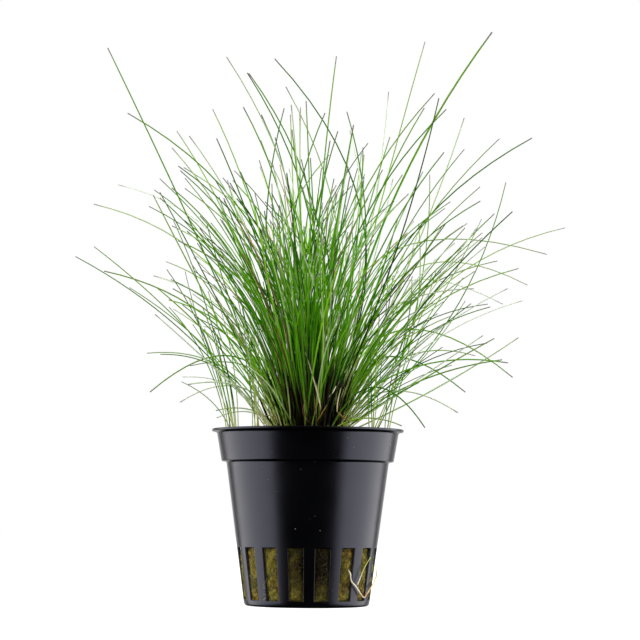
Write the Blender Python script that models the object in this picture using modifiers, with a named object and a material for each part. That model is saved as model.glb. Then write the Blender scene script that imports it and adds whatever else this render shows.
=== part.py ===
"""Dwarf hairgrass in a black slotted nursery pot, in metres, +Z up.

The origin is the centre of the pot's underside, and the front faces -Y.
The grass is planned in millimetres as curved centre lines, then made as tubes.
"""
import math
import random
from collections import namedtuple

import bmesh
import bpy
import numpy as np
from mathutils import Matrix, Vector

MM = 0.001

# Net pot, in millimetres
POT_HEIGHT = 50.2
LIP_RADIUS = 27.5
LIP_THICKNESS = 0.7
COLLAR_TOP_RADIUS = 25.9
COLLAR_BOTTOM_RADIUS = 24.65
COLLAR_BOTTOM = 41.0
BODY_TOP_RADIUS = 23.25
BODY_FOOT_RADIUS = 18.0
FOOT_CORNER = 1.5
WALL = 0.9
FLOOR = 1.2
TURN_STEPS = 36

# Slots round the lower wall and drain slots in the floor, in millimetres and degrees
SLOT_COUNT = 16
SLOT_BOTTOM = 1.85
SLOT_TOP = 16.5
SLOT_HALF_ANGLE = 6.4
FIRST_SLOT = 13.4
DRAIN_COUNT = 8
DRAIN_INNER = 5.0
DRAIN_OUTER = 14.0

# Mineral wool plug, in millimetres
PLUG_GAP = 0.8
PLUG_TOP = 46.5
PLUG_TOP_RADIUS = 23.4
PLUG_STEPS = 32

# Loose root and runner outside the right-hand slots, in millimetres
STRAND_RADIUS = 0.34
# Each stop is an angle from the front in degrees, a height, and how far it stands off the wall
ROOT_STOPS = ((38, 10.6, -0.5), (37.9, 9.6, 0.75), (39.8, 7.4, 0.8), (45.6, 5.9, 0.8), (56.8, 2.9, 0.85),
              (64, 4.2, 0.8), (74.7, 6.3, 0.8), (82.7, 7.7, 0.8), (88.3, 8.8, 0.95), (88.5, 10.3, 0.8))
RUNNER_STOPS = ((61.3, 14, 0.75), (52.8, 10.8, 0.8), (49.5, 8.3, 0.8), (47.4, 6.9, 0.85))

# Grass, in millimetres
SEED = 14
CLUMP_TUFTS = 44
CLUMP_RADIUS = 9.8
SHEATH_RADIUS = 1.0
EDGE_SHEATH_RADIUS = 0.75
SHEATH_HEIGHT = 4.5
SHEATH_TAPER = 0.7
SHEATH_SLOPE = 0.7
EDGE_SHEATH_SLOPE = 0.1
CULM_RADIUS = 0.27
CULM_TIP_RADIUS = 0.16
CULMS_AT_LEAD = 4
CULMS_LYING_LOW = 3
CULMS_IN_CLUMP = 3
CULMS_AT_EDGE = 3
FAN_LEAST = 0.02
FAN_MOST = 0.12
SHORTEST = 0.6
LONGEST = 0.85
REST_GAP = 0.3
CULM_GAP = 0.1
LIP_CLEARANCE = 1.0
LIP_HEADROOM = 0.8
ROOT_RING = 0.7
ROOT_RISE = 0.3
LOW_LEAN = 55.0
WIDEST_LEAN = 70.0
WIDEST_FREE_LEAN = 46.0
UPRIGHT_REACH = 108.0
REACH_LOST = 44.0
STRONG_ARCH = 0.3
FREE_ARCH_MOST = 0.35
LOOSENING = 0.002
DEPTH_SHIFT = 0.06
GOLDEN_ANGLE = math.radians(137.508)
# How fast culms get shorter as they lean, tips draw their feet outward, and tufts lean with their distance
REACH_POWER = 1.4
FOOT_POWER = 0.75
LEAN_POWER = 1.3
# Scatter of the clump's other tufts: lean and least lean in degrees, heading, and shares for length and arch
LEAN_SCATTER = (-12, 6)
LEAST_LEAN = 2
HEADING_SCATTER = 0.25
CLUMP_LENGTHS = (0.8, 1.0)
CLUMP_ARCHES = (0.08, 0.3)
# Scatter of the shorter culms: share of the longest one's arch, what is added to it, sway and thickness
FREE_ARCHES = (0.6, 1.1)
ARCH_LEAST = -0.03
ARCH_MOST = 0.05
ARCH_LOOSENING = 0.0008
SWAY_MOST = 0.06
FREE_WIDTHS = (0.85, 1.05)
SAME_TIP = 0.1
NO_OWNER = -1
TRIES = 200
PATH_SAMPLES = 8
# Tip of a tuft's longest culm as x, y, z, and how far it arches, as a share of its length
LEAD_TIPS = (
    (-59.8, 6, 162.3, 0.01), (-52.4, -8, 140.3, 0.34), (-23.9, -14, 155.6, 0.26), (-10.5, 2, 158.3, 0.39),
    (-40.2, 22, 140.5, 0.12), (-45.6, -12, 112.8, 0.35), (-65.7, 30, 119.3, 0.33), (-66.9, -6, 99, 0.13),
    (-43.2, 26, 101.4, 0.33), (-43.1, -16, 81.6, 0.03), (-47.8, 16, 73, 0.38), (-44.7, -10, 60.1, 0.8),
    (-38.2, 22, 58.9, 0.53), (7.6, 14, 162, 0.08), (34.5, 24, 168.8, 0.02), (52.4, -6, 165.1, 0.13),
    (35.3, -16, 145.1, 0.25), (23.7, 30, 154.5, -0.09), (46, 18, 144.4, -0.05), (64.1, -4, 134.6, 0.27),
    (53.2, -22, 131.2, 0.17), (58.1, 14, 124.4, -0.19), (76.6, 24, 112.1, 0.24), (68.7, 0, 101.3, 0.78),
    (55.8, -18, 89.4, 0.14), (56.2, -10, 68.8, 0.04), (61.4, 10, 77.9, -0.05), (43.4, 8, 55.6, 0.4),
    (32.9, -14, 50.4, 0.9),
)
# Further tips that can be told apart, each for the tuft that points its way best
MORE_TIPS = (
    (-17.8, -18, 150.2, 0.36), (-18.1, 4, 154.6, 0.26), (-7.1, -3, 149, 0.38), (10.7, 6, 143.6, -0.23),
    (12.7, 12, 140.1, 0.05), (33, -4, 143.3, 0.12), (39.1, -10, 142.1, 0.37), (15.1, -14, 129.8, -0.09),
    (8, -4, 136, 0.29), (11.8, 20, 140.3, 0.44), (-7.7, 8, 144.6, -0.19), (-6.1, 22, 145.8, -0.02),
    (-3.1, 26, 148.7, -0.13), (-14, -8, 140.2, 0.21), (-18.5, -26, 138.8, 0.35), (36.6, -12, 144, -0.05),
    (39, 0, 131.1, 0.21), (43.9, -14, 129.5, 0.15), (47.3, -28, 116.6, 0.2), (57.9, -10, 112.3, 0.09),
    (52.1, 30, 115.6, -0.08), (53.8, -8, 98.4, 0.38), (66.6, 36, 96.2, 0.78), (59.4, 40, 90.7, 0.78),
    (50.3, -24, 83.5, 0.37), (46.7, -12, 89.8, 0.43), (48.8, -20, 76, 0.01), (53.8, 2, 77.1, 0.07),
    (56.2, 4, 71, 0.16), (60.1, 14, 66.5, 0.75), (48.8, 18, 72.6, 0.23), (46, 12, 61.9, 0.78),
    (-43.5, -20, 116.3, 0.29), (-58.7, 34, 125.9, 0.39), (-62.5, 2, 102.9, 0.08), (-57.7, -16, 93.8, 0.3),
    (-35.8, -30, 100.5, 0.43), (-37.8, -22, 88.3, 0.24), (-45.3, 16, 92.6, 0.09), (-43, 2, 71.9, 0.5),
    (-33.6, -18, 61.9, 0.33), (-35.1, 12, 69.4, 0.63), (-35.3, 28, 92.2, 0.09), (-29.6, 24, 147.6, 0.12),
    (-33.9, -18, 131.8, 0.15), (-40.5, 6, 132.7, 0.18), (-25.9, -26, 130, 0.1),
)
# Foot of each tuft near the pot's edge as x and y, then its longest culm as above
EDGE_CULMS = (
    ((-22.4, 2), (-42, 12, 97.5, 0.14)), ((-20.6, 8.5), (-40.6, 18, 112.8, 0.08)),
    ((-20.4, -7), (-30, -11, 84, 0.08)), ((-15.6, 14), (-24, 18, 100, 0.08)),
    ((-13.8, -12), (-18, -16, 76, 0.05)), ((22.3, 2), (36, 4, 96, 0.08)),
    ((18.3, 10.5), (35.3, 10, 125.9, -0.12)), ((17.8, -10.5), (20, -13, 82, 0.04)), ((3, 18), (1, 31, 110, 0.1)),
)
STOUT_TIP = (52.4, -6, 165.1)
STOUT_WIDTH = 1.5

# root and tip are points, arch and sway bend the line between them, width scales its thickness
Culm = namedtuple("Culm", "root tip arch sway width")
Tuft = namedtuple("Tuft", "name foot tip arch count sheath turn")


def wall_radius(height):
    """Outer radius of the pot's tapered body at a height."""
    rise = (height - FOOT_CORNER) / (COLLAR_BOTTOM - FOOT_CORNER)
    return BODY_FOOT_RADIUS + (BODY_TOP_RADIUS - BODY_FOOT_RADIUS) * rise


# Centre lines of the grass

def bend_point(culm):
    """Control point that arches a culm outward as it rises."""
    chord = culm.tip - culm.root
    along = chord.normalized()
    lift = (Vector((0, 0, 1)) - along * along.z).normalized()
    side = along.cross(lift)
    middle = (culm.root + culm.tip) / 2
    return middle + (lift * culm.arch + side * culm.sway) * chord.length


def culm_points(culm):
    """Points along a culm, closer together where it arches strongly."""
    bend = bend_point(culm)
    pieces = 3 if abs(culm.arch) < STRONG_ARCH else 4
    points = []
    for step in range(pieces + 1):
        t = step / pieces
        points.append(culm.root * (1 - t) ** 2 + bend * 2 * t * (1 - t) + culm.tip * t ** 2)
    return points


def segment_distances(start, end, starts, ends):
    """Shortest distance from one straight segment to each of many."""
    own = end - start
    others = ends - starts
    between = start - starts
    own_square = own @ own
    other_squares = (others * others).sum(axis=1)
    mixed = others @ own
    own_part = between @ own
    other_parts = (others * between).sum(axis=1)
    spread = np.maximum(own_square * other_squares - mixed ** 2, 1e-9)
    s = np.clip((mixed * other_parts - own_part * other_squares) / spread, 0, 1)
    t = np.clip((mixed * s + other_parts) / other_squares, 0, 1)
    s = np.clip((mixed * t - own_part) / own_square, 0, 1)
    apart = between + s[:, None] * own - t[:, None] * others
    return np.linalg.norm(apart, axis=1)


class Thicket:
    """The centre lines placed so far, to keep culms and sheaths from touching each other."""

    def __init__(self):
        self.starts = np.empty((0, 3))
        self.ends = np.empty((0, 3))
        self.radii = np.empty(0)
        self.owners = np.empty(0, dtype=int)

    def add(self, owner, points, radius):
        path = np.array([tuple(point) for point in points])
        count = len(path) - 1
        self.starts = np.vstack((self.starts, path[:-1]))
        self.ends = np.vstack((self.ends, path[1:]))
        self.radii = np.append(self.radii, np.full(count, radius))
        self.owners = np.append(self.owners, np.full(count, owner))

    def room(self, owner, points, radius):
        """Least gap between a new culm and all that is placed, but for its own tuft's sheath."""
        others = self.owners != owner
        if not others.any():
            return math.inf
        path = np.array([tuple(point) for point in points])
        least = math.inf
        for start, end in zip(path[:-1], path[1:]):
            gaps = segment_distances(start, end, self.starts[others], self.ends[others])
            least = min(least, float((gaps - self.radii[others]).min()) - radius)
        return least


def clears_pot(points):
    """Whether a culm passes over the lip and stays above the wool."""
    for start, end in zip(points[:-1], points[1:]):
        for step in range(PATH_SAMPLES + 1):
            point = start.lerp(end, step / PATH_SAMPLES)
            reach = math.hypot(point.x, point.y)
            if reach < LIP_RADIUS + LIP_CLEARANCE:
                over_rim = reach > COLLAR_TOP_RADIUS - WALL - LIP_CLEARANCE
                floor = POT_HEIGHT + LIP_HEADROOM if over_rim else PLUG_TOP + REST_GAP + CULM_RADIUS
                if point.z < floor:
                    return False
    return True


def lean_of(tip, foot):
    """Angle of the line from foot to tip away from upright, in degrees."""
    return math.degrees(math.atan2(math.hypot(tip.x - foot.x, tip.y - foot.y), tip.z - foot.z))


def reach_at(lean):
    """Usual length of a culm that leans this many degrees."""
    return UPRIGHT_REACH - REACH_LOST * (lean / WIDEST_LEAN) ** REACH_POWER


def clump_feet():
    """Feet of the clump's tufts, spread evenly over a disc."""
    feet = []
    for index in range(CLUMP_TUFTS):
        radius = CLUMP_RADIUS * math.sqrt((index + 0.5) / CLUMP_TUFTS)
        angle = index * GOLDEN_ANGLE
        feet.append(Vector((radius * math.cos(angle), radius * math.sin(angle), PLUG_TOP + REST_GAP)))
    return feet


def take_nearest(feet, tip):
    """Remove and return the free foot that suits a tip best: the more it leans, the further out."""
    lean = lean_of(tip, Vector((0, 0, PLUG_TOP)))
    share = min(lean / WIDEST_LEAN, 1) ** FOOT_POWER
    wanted = Vector((tip.x, tip.y, 0)).normalized() * CLUMP_RADIUS * share
    best = min(feet, key=lambda foot: (foot.xy - wanted.xy).length)
    feet.remove(best)
    return best


def plan_tufts(dice):
    """Foot and longest tip of each tuft: the chosen ones, the rest of the clump, then the edge."""
    feet = clump_feet()
    tufts = []
    for x, y, z, arch in LEAD_TIPS:
        tip = Vector((x, y, z))
        foot = take_nearest(feet, tip)
        count = CULMS_LYING_LOW if lean_of(tip, foot) > LOW_LEAN else CULMS_AT_LEAD
        name = "tuft_%02d" % (len(tufts) + 1)
        turn = dice.uniform(0, math.tau)
        tufts.append(Tuft(name, foot, tip, arch, count, SHEATH_RADIUS, turn))
    for foot in feet:
        outward = foot.xy.length / CLUMP_RADIUS
        lean = WIDEST_FREE_LEAN * outward ** LEAN_POWER + dice.uniform(*LEAN_SCATTER)
        lean = math.radians(max(lean, LEAST_LEAN))
        angle = math.atan2(foot.y, foot.x) + dice.uniform(-HEADING_SCATTER, HEADING_SCATTER)
        length = reach_at(math.degrees(lean)) * dice.uniform(*CLUMP_LENGTHS)
        away = Vector((math.sin(lean) * math.cos(angle), math.sin(lean) * math.sin(angle), math.cos(lean)))
        name = "tuft_%02d" % (len(tufts) + 1)
        arch = dice.uniform(*CLUMP_ARCHES)
        turn = dice.uniform(0, math.tau)
        tufts.append(Tuft(name, foot, foot + away * length, arch, CULMS_IN_CLUMP, SHEATH_RADIUS, turn))
    for number, ((foot_x, foot_y), (x, y, z, arch)) in enumerate(EDGE_CULMS, 1):
        foot = Vector((foot_x, foot_y, PLUG_TOP + REST_GAP))
        turn = dice.uniform(0, math.tau)
        tufts.append(Tuft("edge_tuft_%d" % number, foot, Vector((x, y, z)), arch, CULMS_AT_EDGE,
                          EDGE_SHEATH_RADIUS, turn))
    return tufts


def share_out(tufts):
    """The further tips by tuft: each goes to the tuft with a free place that points its way best."""
    shares = {tuft.name: [] for tuft in tufts}
    for x, y, z, arch in MORE_TIPS:
        tip = Vector((x, y, z))
        able = [tuft for tuft in tufts
                if tuft.sheath == SHEATH_RADIUS and len(shares[tuft.name]) < tuft.count - 1]
        best = min(able, key=lambda tuft: (tip - tuft.foot).angle(tuft.tip - tuft.foot))
        shares[best.name].append((tip, arch))
    return shares


def sheath_top(tuft):
    """Top of a tuft's sheath: sheaths lean out from the middle of the pot, the outer ones most."""
    slope = SHEATH_SLOPE if tuft.sheath == SHEATH_RADIUS else EDGE_SHEATH_SLOPE
    away = Vector((tuft.foot.x * slope / CLUMP_RADIUS, tuft.foot.y * slope / CLUMP_RADIUS, 1))
    return tuft.foot + away.normalized() * SHEATH_HEIGHT


def ring_direction(tuft, place):
    """Direction from a tuft's middle to one of the evenly spaced places round it."""
    angle = tuft.turn + place * math.tau / tuft.count
    return Vector((math.cos(angle), math.sin(angle), 0))


def culm_root(tuft, place):
    """Where a culm starts, inside the lower part of its sheath."""
    middle = tuft.foot.lerp(sheath_top(tuft), ROOT_RISE)
    return middle + ring_direction(tuft, place) * tuft.sheath * ROOT_RING


def aimed_culm(tuft, place, tip, arch, dice, attempt):
    """A culm with a known tip, bent and shifted a little more at each further attempt."""
    loose = LOOSENING * attempt
    width = STOUT_WIDTH if (tip - Vector(STOUT_TIP)).length < SAME_TIP else 1
    arch += dice.uniform(-loose, loose)
    shift = Vector((0, dice.uniform(-1, 1), 0)) * DEPTH_SHIFT * attempt
    return Culm(culm_root(tuft, place), tip + shift, arch, dice.uniform(-loose, loose), width)


def free_culm(tuft, place, dice, attempt):
    """A shorter culm that fans out to its own side of the tuft's longest one."""
    root = culm_root(tuft, place)
    chord = tuft.tip - root
    aside = ring_direction(tuft, place) * dice.uniform(FAN_LEAST, FAN_MOST)
    aside += Vector((dice.uniform(-1, 1), dice.uniform(-1, 1), dice.uniform(-1, 1))) * FAN_MOST / 2
    length = chord.length * dice.uniform(SHORTEST, LONGEST)
    tip = root + (chord.normalized() + aside).normalized() * length
    arch = min(tuft.arch, FREE_ARCH_MOST) * dice.uniform(*FREE_ARCHES)
    arch += dice.uniform(ARCH_LEAST, ARCH_MOST + ARCH_LOOSENING * attempt)
    return Culm(root, tip, arch, dice.uniform(-SWAY_MOST, SWAY_MOST), dice.uniform(*FREE_WIDTHS))


def place_culm(thicket, owner, draw):
    """Draw culms until one keeps clear of the pot and of all others."""
    for attempt in range(TRIES):
        culm = draw(attempt)
        points = culm_points(culm)
        radius = CULM_RADIUS * culm.width
        if clears_pot(points) and thicket.room(owner, points, radius) > CULM_GAP:
            thicket.add(NO_OWNER, points, radius)
            return culm
    return None


def grow_grass():
    """All tufts with their culms: those with known tips first, so that they get the room they need."""
    dice = random.Random(SEED)
    tufts = plan_tufts(dice)
    shares = share_out(tufts)
    thicket = Thicket()
    for owner, tuft in enumerate(tufts):
        thicket.add(owner, (tuft.foot, sheath_top(tuft)), tuft.sheath)
    grown = []
    places = []
    for owner, tuft in enumerate(tufts):
        def draw_lead(attempt):
            return aimed_culm(tuft, 0, tuft.tip, tuft.arch, dice, attempt)
        grown.append([place_culm(thicket, owner, draw_lead)])
        places.append(set(range(1, tuft.count)))
    for owner, tuft in enumerate(tufts):
        for tip, arch in shares[tuft.name]:
            aside = (tip - tuft.foot).normalized() - (tuft.tip - tuft.foot).normalized()
            for place in sorted(places[owner], key=lambda number: -ring_direction(tuft, number).dot(aside)):
                def draw_further(attempt):
                    return aimed_culm(tuft, place, tip, arch, dice, attempt)
                culm = place_culm(thicket, owner, draw_further)
                if culm:
                    grown[owner].append(culm)
                    places[owner].remove(place)
                    break
    for owner, tuft in enumerate(tufts):
        for place in sorted(places[owner]):
            def draw_free(attempt):
                return free_culm(tuft, place, dice, attempt)
            grown[owner].append(place_culm(thicket, owner, draw_free))
    return [(tuft, [culm for culm in culms if culm]) for tuft, culms in zip(tufts, grown)]


# Objects and materials

def material(name, color, roughness, metallic=0.0):
    made = bpy.data.materials.new(name)
    made.use_nodes = True
    shader = made.node_tree.nodes["Principled BSDF"]
    shader.inputs["Base Color"].default_value = (*color, 1)
    shader.inputs["Roughness"].default_value = roughness
    shader.inputs["Metallic"].default_value = metallic
    return made


def add_object(name, mesh, collection):
    item = bpy.data.objects.new(name, mesh)
    collection.objects.link(item)
    return item


def evaluated_mesh(item):
    """The object's mesh with its modifiers or curve settings worked out."""
    depsgraph = bpy.context.evaluated_depsgraph_get()
    depsgraph.update()
    return bpy.data.meshes.new_from_object(item.evaluated_get(depsgraph))


def turned_profile(name, profile, steps, collection):
    """A profile in millimetres turned about Z by a Screw modifier."""
    mesh = bpy.data.meshes.new(name)
    points = [(radius * MM, 0, height * MM) for radius, height in profile]
    edges = [(index, index + 1) for index in range(len(points) - 1)]
    mesh.from_pydata(points, edges, [])
    item = add_object(name, mesh, collection)
    screw = item.modifiers.new("turn", "SCREW")
    screw.steps = steps
    screw.render_steps = steps
    screw.use_merge_vertices = True
    screw.merge_threshold = 0.00001
    screw.use_smooth_shade = True
    return item


def wedge_cutter(name, count, reach, heights, collection):
    """Equal wedges round Z, with their sides on radial planes and the first one at FIRST_SLOT."""
    wedges = bmesh.new()
    for index in range(count):
        angle = math.radians(FIRST_SLOT - 90) + index * math.tau / count
        wedge = bmesh.ops.create_cube(wedges, size=1)["verts"]
        for vert in wedge:
            along = reach[1] if vert.co.x > 0 else reach[0]
            height = heights[1] if vert.co.z > 0 else heights[0]
            across = math.copysign(along * math.tan(math.radians(SLOT_HALF_ANGLE)), vert.co.y)
            vert.co = Vector((along, across, height)) * MM
        bmesh.ops.rotate(wedges, verts=wedge, matrix=Matrix.Rotation(angle, 3, "Z"))
    mesh = bpy.data.meshes.new(name)
    wedges.to_mesh(mesh)
    wedges.free()
    cutter = add_object(name, mesh, collection)
    cutter.hide_render = True
    cutter.display_type = "WIRE"
    return cutter


def cut(item, cutter):
    boolean = item.modifiers.new(cutter.name, "BOOLEAN")
    boolean.operation = "DIFFERENCE"
    boolean.object = cutter


def tube_mesh(name, points, radii, section):
    """A mesh tube along points in millimetres, with a section curve and closed, welded ends."""
    curve = bpy.data.curves.new(name, "CURVE")
    curve.dimensions = "3D"
    curve.bevel_mode = "OBJECT"
    curve.bevel_object = section
    curve.use_fill_caps = True
    spline = curve.splines.new("POLY")
    spline.points.add(len(points) - 1)
    for place, point, radius in zip(spline.points, points, radii):
        place.co = (*(point * MM), 1)
        place.radius = radius
    guide = add_object(name, curve, bpy.context.scene.collection)
    mesh = evaluated_mesh(guide)
    bpy.data.objects.remove(guide)
    bpy.data.curves.remove(curve)
    shape = bmesh.new()
    shape.from_mesh(mesh)
    bmesh.ops.remove_doubles(shape, verts=shape.verts, dist=0.000001)
    bmesh.ops.recalc_face_normals(shape, faces=shape.faces)
    shape.to_mesh(mesh)
    shape.free()
    return mesh


def section_curve(name, sides, collection):
    """A regular outline of 1 mm radius, scaled by each point of the tube that it shapes."""
    curve = bpy.data.curves.new(name, "CURVE")
    curve.dimensions = "2D"
    spline = curve.splines.new("POLY")
    spline.points.add(sides - 1)
    for index, place in enumerate(spline.points):
        angle = index * math.tau / sides
        place.co = (math.cos(angle) * MM, math.sin(angle) * MM, 0, 1)
    spline.use_cyclic_u = True
    section = add_object(name, curve, collection)
    section.hide_render = True
    section.display_type = "WIRE"
    return section


# Pot and wool

def build_net_pot(parts, cutters):
    """Thin lip, stepped collar, tapered slotted body and drained floor, as one moulding."""
    inner_foot = wall_radius(FLOOR) - WALL
    profile = (
        (0, FLOOR),
        (inner_foot, FLOOR),
        (BODY_TOP_RADIUS - WALL, COLLAR_BOTTOM - 0.6),
        (COLLAR_BOTTOM_RADIUS - WALL, COLLAR_BOTTOM - 0.1),
        (COLLAR_TOP_RADIUS - WALL, POT_HEIGHT - 1.6),
        (COLLAR_TOP_RADIUS - 0.4, POT_HEIGHT - 0.4),
        (COLLAR_TOP_RADIUS + 0.3, POT_HEIGHT),
        (LIP_RADIUS, POT_HEIGHT),
        (LIP_RADIUS, POT_HEIGHT - LIP_THICKNESS),
        (COLLAR_TOP_RADIUS + 0.5, POT_HEIGHT - LIP_THICKNESS - 0.3),
        (COLLAR_TOP_RADIUS, POT_HEIGHT - 1.8),
        (COLLAR_BOTTOM_RADIUS, COLLAR_BOTTOM),
        (BODY_TOP_RADIUS, COLLAR_BOTTOM - 0.3),
        (BODY_FOOT_RADIUS, FOOT_CORNER),
        (BODY_FOOT_RADIUS - 0.5, 0.4),
        (BODY_FOOT_RADIUS - 1.1, 0),
        (0, 0),
    )
    pot = turned_profile("net_pot", profile, TURN_STEPS, parts)
    reach = (BODY_FOOT_RADIUS - 3, BODY_TOP_RADIUS)
    cut(pot, wedge_cutter("wall_slots", SLOT_COUNT, reach, (SLOT_BOTTOM, SLOT_TOP), cutters))
    reach = (DRAIN_INNER, DRAIN_OUTER)
    cut(pot, wedge_cutter("drain_slots", DRAIN_COUNT, reach, (-1, FLOOR + 0.2), cutters))
    pot.data.materials.append(material("black pot plastic", (0.006, 0.006, 0.008), 0.35))
    return pot


def build_plug(parts):
    """Tapered block of mineral wool that nearly fills the pot and swells into its collar."""
    foot = FLOOR + REST_GAP
    profile = (
        (0, PLUG_TOP),
        (PLUG_TOP_RADIUS, PLUG_TOP),
        (COLLAR_BOTTOM_RADIUS - WALL - PLUG_GAP, COLLAR_BOTTOM + 1),
        (BODY_TOP_RADIUS - WALL - PLUG_GAP, COLLAR_BOTTOM - 1),
        (wall_radius(foot) - WALL - PLUG_GAP, foot),
        (0, foot),
    )
    plug = turned_profile("wool_plug", profile, PLUG_STEPS, parts)
    plug.data.materials.append(material("mineral wool", (0.09, 0.075, 0.018), 0.95))
    return plug


def build_strand(name, stops, parts, section, look):
    """A root or runner that lies outside the wall, by angle, height and distance off it."""
    points = []
    for degrees, height, off in stops:
        angle = math.radians(degrees - 90)
        radius = wall_radius(height) + off
        points.append(Vector((radius * math.cos(angle), radius * math.sin(angle), height)))
    radii = [STRAND_RADIUS] * len(points)
    strand = add_object(name, tube_mesh(name, points, radii, section), parts)
    strand.data.materials.append(look)
    return strand


# Grass

def sheath_mesh(tuft):
    """A short cone that stands flat on the wool and leans the way its culms set out."""
    top = sheath_top(tuft)
    shape = bmesh.new()
    bmesh.ops.create_cone(shape, cap_ends=True, segments=5, radius1=tuft.sheath,
                          radius2=tuft.sheath * SHEATH_TAPER, depth=1)
    for vert in shape.verts:
        middle = tuft.foot.lerp(top, vert.co.z + 0.5)
        vert.co = (Vector((vert.co.x, vert.co.y, 0)) + middle) * MM
    mesh = bpy.data.meshes.new(tuft.name)
    shape.to_mesh(mesh)
    shape.free()
    return mesh


def build_tuft(tuft, culms, parts, section, look):
    """One tuft: its sheath and its culms, joined in one solid."""
    item = add_object(tuft.name, sheath_mesh(tuft), parts)
    blades = []
    for culm in culms:
        points = culm_points(culm)
        last = len(points) - 1
        radii = []
        for index in range(len(points)):
            thick = CULM_RADIUS + (CULM_TIP_RADIUS - CULM_RADIUS) * index / last
            radii.append(thick * culm.width)
        blade = add_object("blade", tube_mesh("blade", points, radii, section), parts)
        union = item.modifiers.new("join", "BOOLEAN")
        union.operation = "UNION"
        union.object = blade
        blades.append(blade)
    joined = evaluated_mesh(item)
    item.modifiers.clear()
    item.data = joined
    joined.name = tuft.name
    joined.materials.clear()
    joined.materials.append(look)
    for blade in blades:
        bpy.data.objects.remove(blade)
    return item


def main():
    for item in list(bpy.data.objects):
        bpy.data.objects.remove(item)
    parts = bpy.data.collections.new("hairgrass_pot")
    cutters = bpy.data.collections.new("hairgrass_pot_cutters")
    for collection in (parts, cutters):
        bpy.context.scene.collection.children.link(collection)
    triangle = section_curve("culm_section", 3, cutters)
    hexagon = section_curve("strand_section", 6, cutters)

    build_net_pot(parts, cutters)
    build_plug(parts)
    straw = material("straw root", (0.5, 0.36, 0.12), 0.6)
    build_strand("loose_root", ROOT_STOPS, parts, hexagon, straw)
    pale = material("pale runner", (0.5, 0.5, 0.12), 0.6)
    build_strand("loose_runner", RUNNER_STOPS, parts, hexagon, pale)
    green = material("green culms", (0.09, 0.26, 0.02), 0.45)
    for tuft, culms in grow_grass():
        build_tuft(tuft, culms, parts, triangle, green)


main()
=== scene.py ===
"""Looks of the dwarf hairgrass in its black net pot.

Each tuft's solid gives way to its whole bunch of thread-like culms. The pot, the wool plug and the two
loose strands are made again with their fine edges, fibres and kinks, where their solids stand.
"""
import math
import random
from collections import namedtuple

import bmesh
import bpy
import numpy as np
from mathutils import Matrix, Vector, noise


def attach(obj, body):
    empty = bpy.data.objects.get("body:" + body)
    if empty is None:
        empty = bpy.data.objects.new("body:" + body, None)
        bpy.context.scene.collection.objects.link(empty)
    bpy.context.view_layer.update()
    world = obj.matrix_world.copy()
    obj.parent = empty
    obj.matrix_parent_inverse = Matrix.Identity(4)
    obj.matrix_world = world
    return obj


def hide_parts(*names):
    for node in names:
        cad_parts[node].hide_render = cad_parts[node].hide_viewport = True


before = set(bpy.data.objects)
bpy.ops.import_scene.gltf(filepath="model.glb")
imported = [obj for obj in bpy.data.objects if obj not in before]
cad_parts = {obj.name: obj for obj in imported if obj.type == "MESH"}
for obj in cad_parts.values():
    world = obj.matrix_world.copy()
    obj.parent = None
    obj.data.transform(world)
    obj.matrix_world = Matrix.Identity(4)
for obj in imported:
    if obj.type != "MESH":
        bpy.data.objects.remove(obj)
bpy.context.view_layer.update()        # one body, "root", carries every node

MM = 0.001
BODY = "root"

# Net pot, in millimetres and degrees, as its solid is made
POT_HEIGHT = 50.2
LIP_RADIUS = 27.5
COLLAR_TOP_RADIUS = 25.9
COLLAR_BOTTOM_RADIUS = 24.65
COLLAR_BOTTOM = 41.0
COLLAR_TOP = POT_HEIGHT - 2
BODY_TOP_RADIUS = 23.25
BODY_FOOT_RADIUS = 18.0
FOOT_CORNER = 1.5
WALL = 0.9
FLOOR = 1.2
SLOT_COUNT = 16
SLOT_BOTTOM = 1.85
SLOT_TOP = 16.5
SLOT_HALF_ANGLE = 6.4
FIRST_SLOT = 13.4
DRAIN_INNER = 5.0
DRAIN_OUTER = 14.0
SLOT_PITCH = 360 / SLOT_COUNT
SLOT_EDGE_RADIUS = 0.3
SLOT_EDGE_ANGLE = 55
CREASE_ANGLE = 35
SPANS_PER_SLOT = 4
SPANS_PER_RIB = 4

# Wool plug, in millimetres
PLUG_GAP = 0.8
PLUG_TOP = 46.5
PLUG_TOP_RADIUS = 23.4
THROAT_STEP = 1
# How much the wool swells towards the wall, and how high, in slot heights
SWELL = 0.75
SWELL_REACH = 1.6
# Painted shade on the wool and its loose fibres, low at the front where the slots' recesses lie in shade: the
# patch's centre, then the distances of full shade and of none, in millimetres
SHADE_PATCH = Vector((2.2, -18, 12))
SHADE_PATCH_CORE = 3
SHADE_PATCH_REACH = 13.5
SLOT_BULGE = 0.55
BULGE_HALF_ANGLE = 5.8
# Large and small ruffles of its skin as size and height, how deep they are sunk, the highest, and how deep
# the top's skin is sunk
RUFFLES = ((2, 0.7), (0.7, 0.4))
RUFFLES_SUNK = 0.05
RUFFLE_MOST = 0.3
TOP_SUNK = 0.15
# Points round the skin, up its side and in over its top
SKIN_AROUND = 440
SKIN_UP = 80
SKIN_INWARD = 26
# Fibres in each slot and on top: number, lengths and bow, and how far out and aside those in a slot lie
SLOT_FIBRES = 170
SLOT_FIBRE_LENGTHS = (0.5, 2.2)
SLOT_FIBRE_BOW = 0.35
SLOT_FIBRE_OUT = (-0.1, 0.25)
SLOT_FIBRE_HALF_ANGLE = 6.5
SLOT_FIBRE_HEIGHTS = (SLOT_BOTTOM - 0.2, SLOT_TOP + 0.3)
SLOT_FIBRE_RISE = 1.3
TOP_FIBRES = 1400
TOP_FIBRE_LENGTHS = (1.5, 5)
TOP_FIBRE_BOW = 0.5
TOP_FIBRE_MARGIN = 0.6
TOP_FIBRE_HEIGHTS = (-0.1, 0.2)
TOP_FIBRE_RISES = (-0.1, 0.25)
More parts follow.
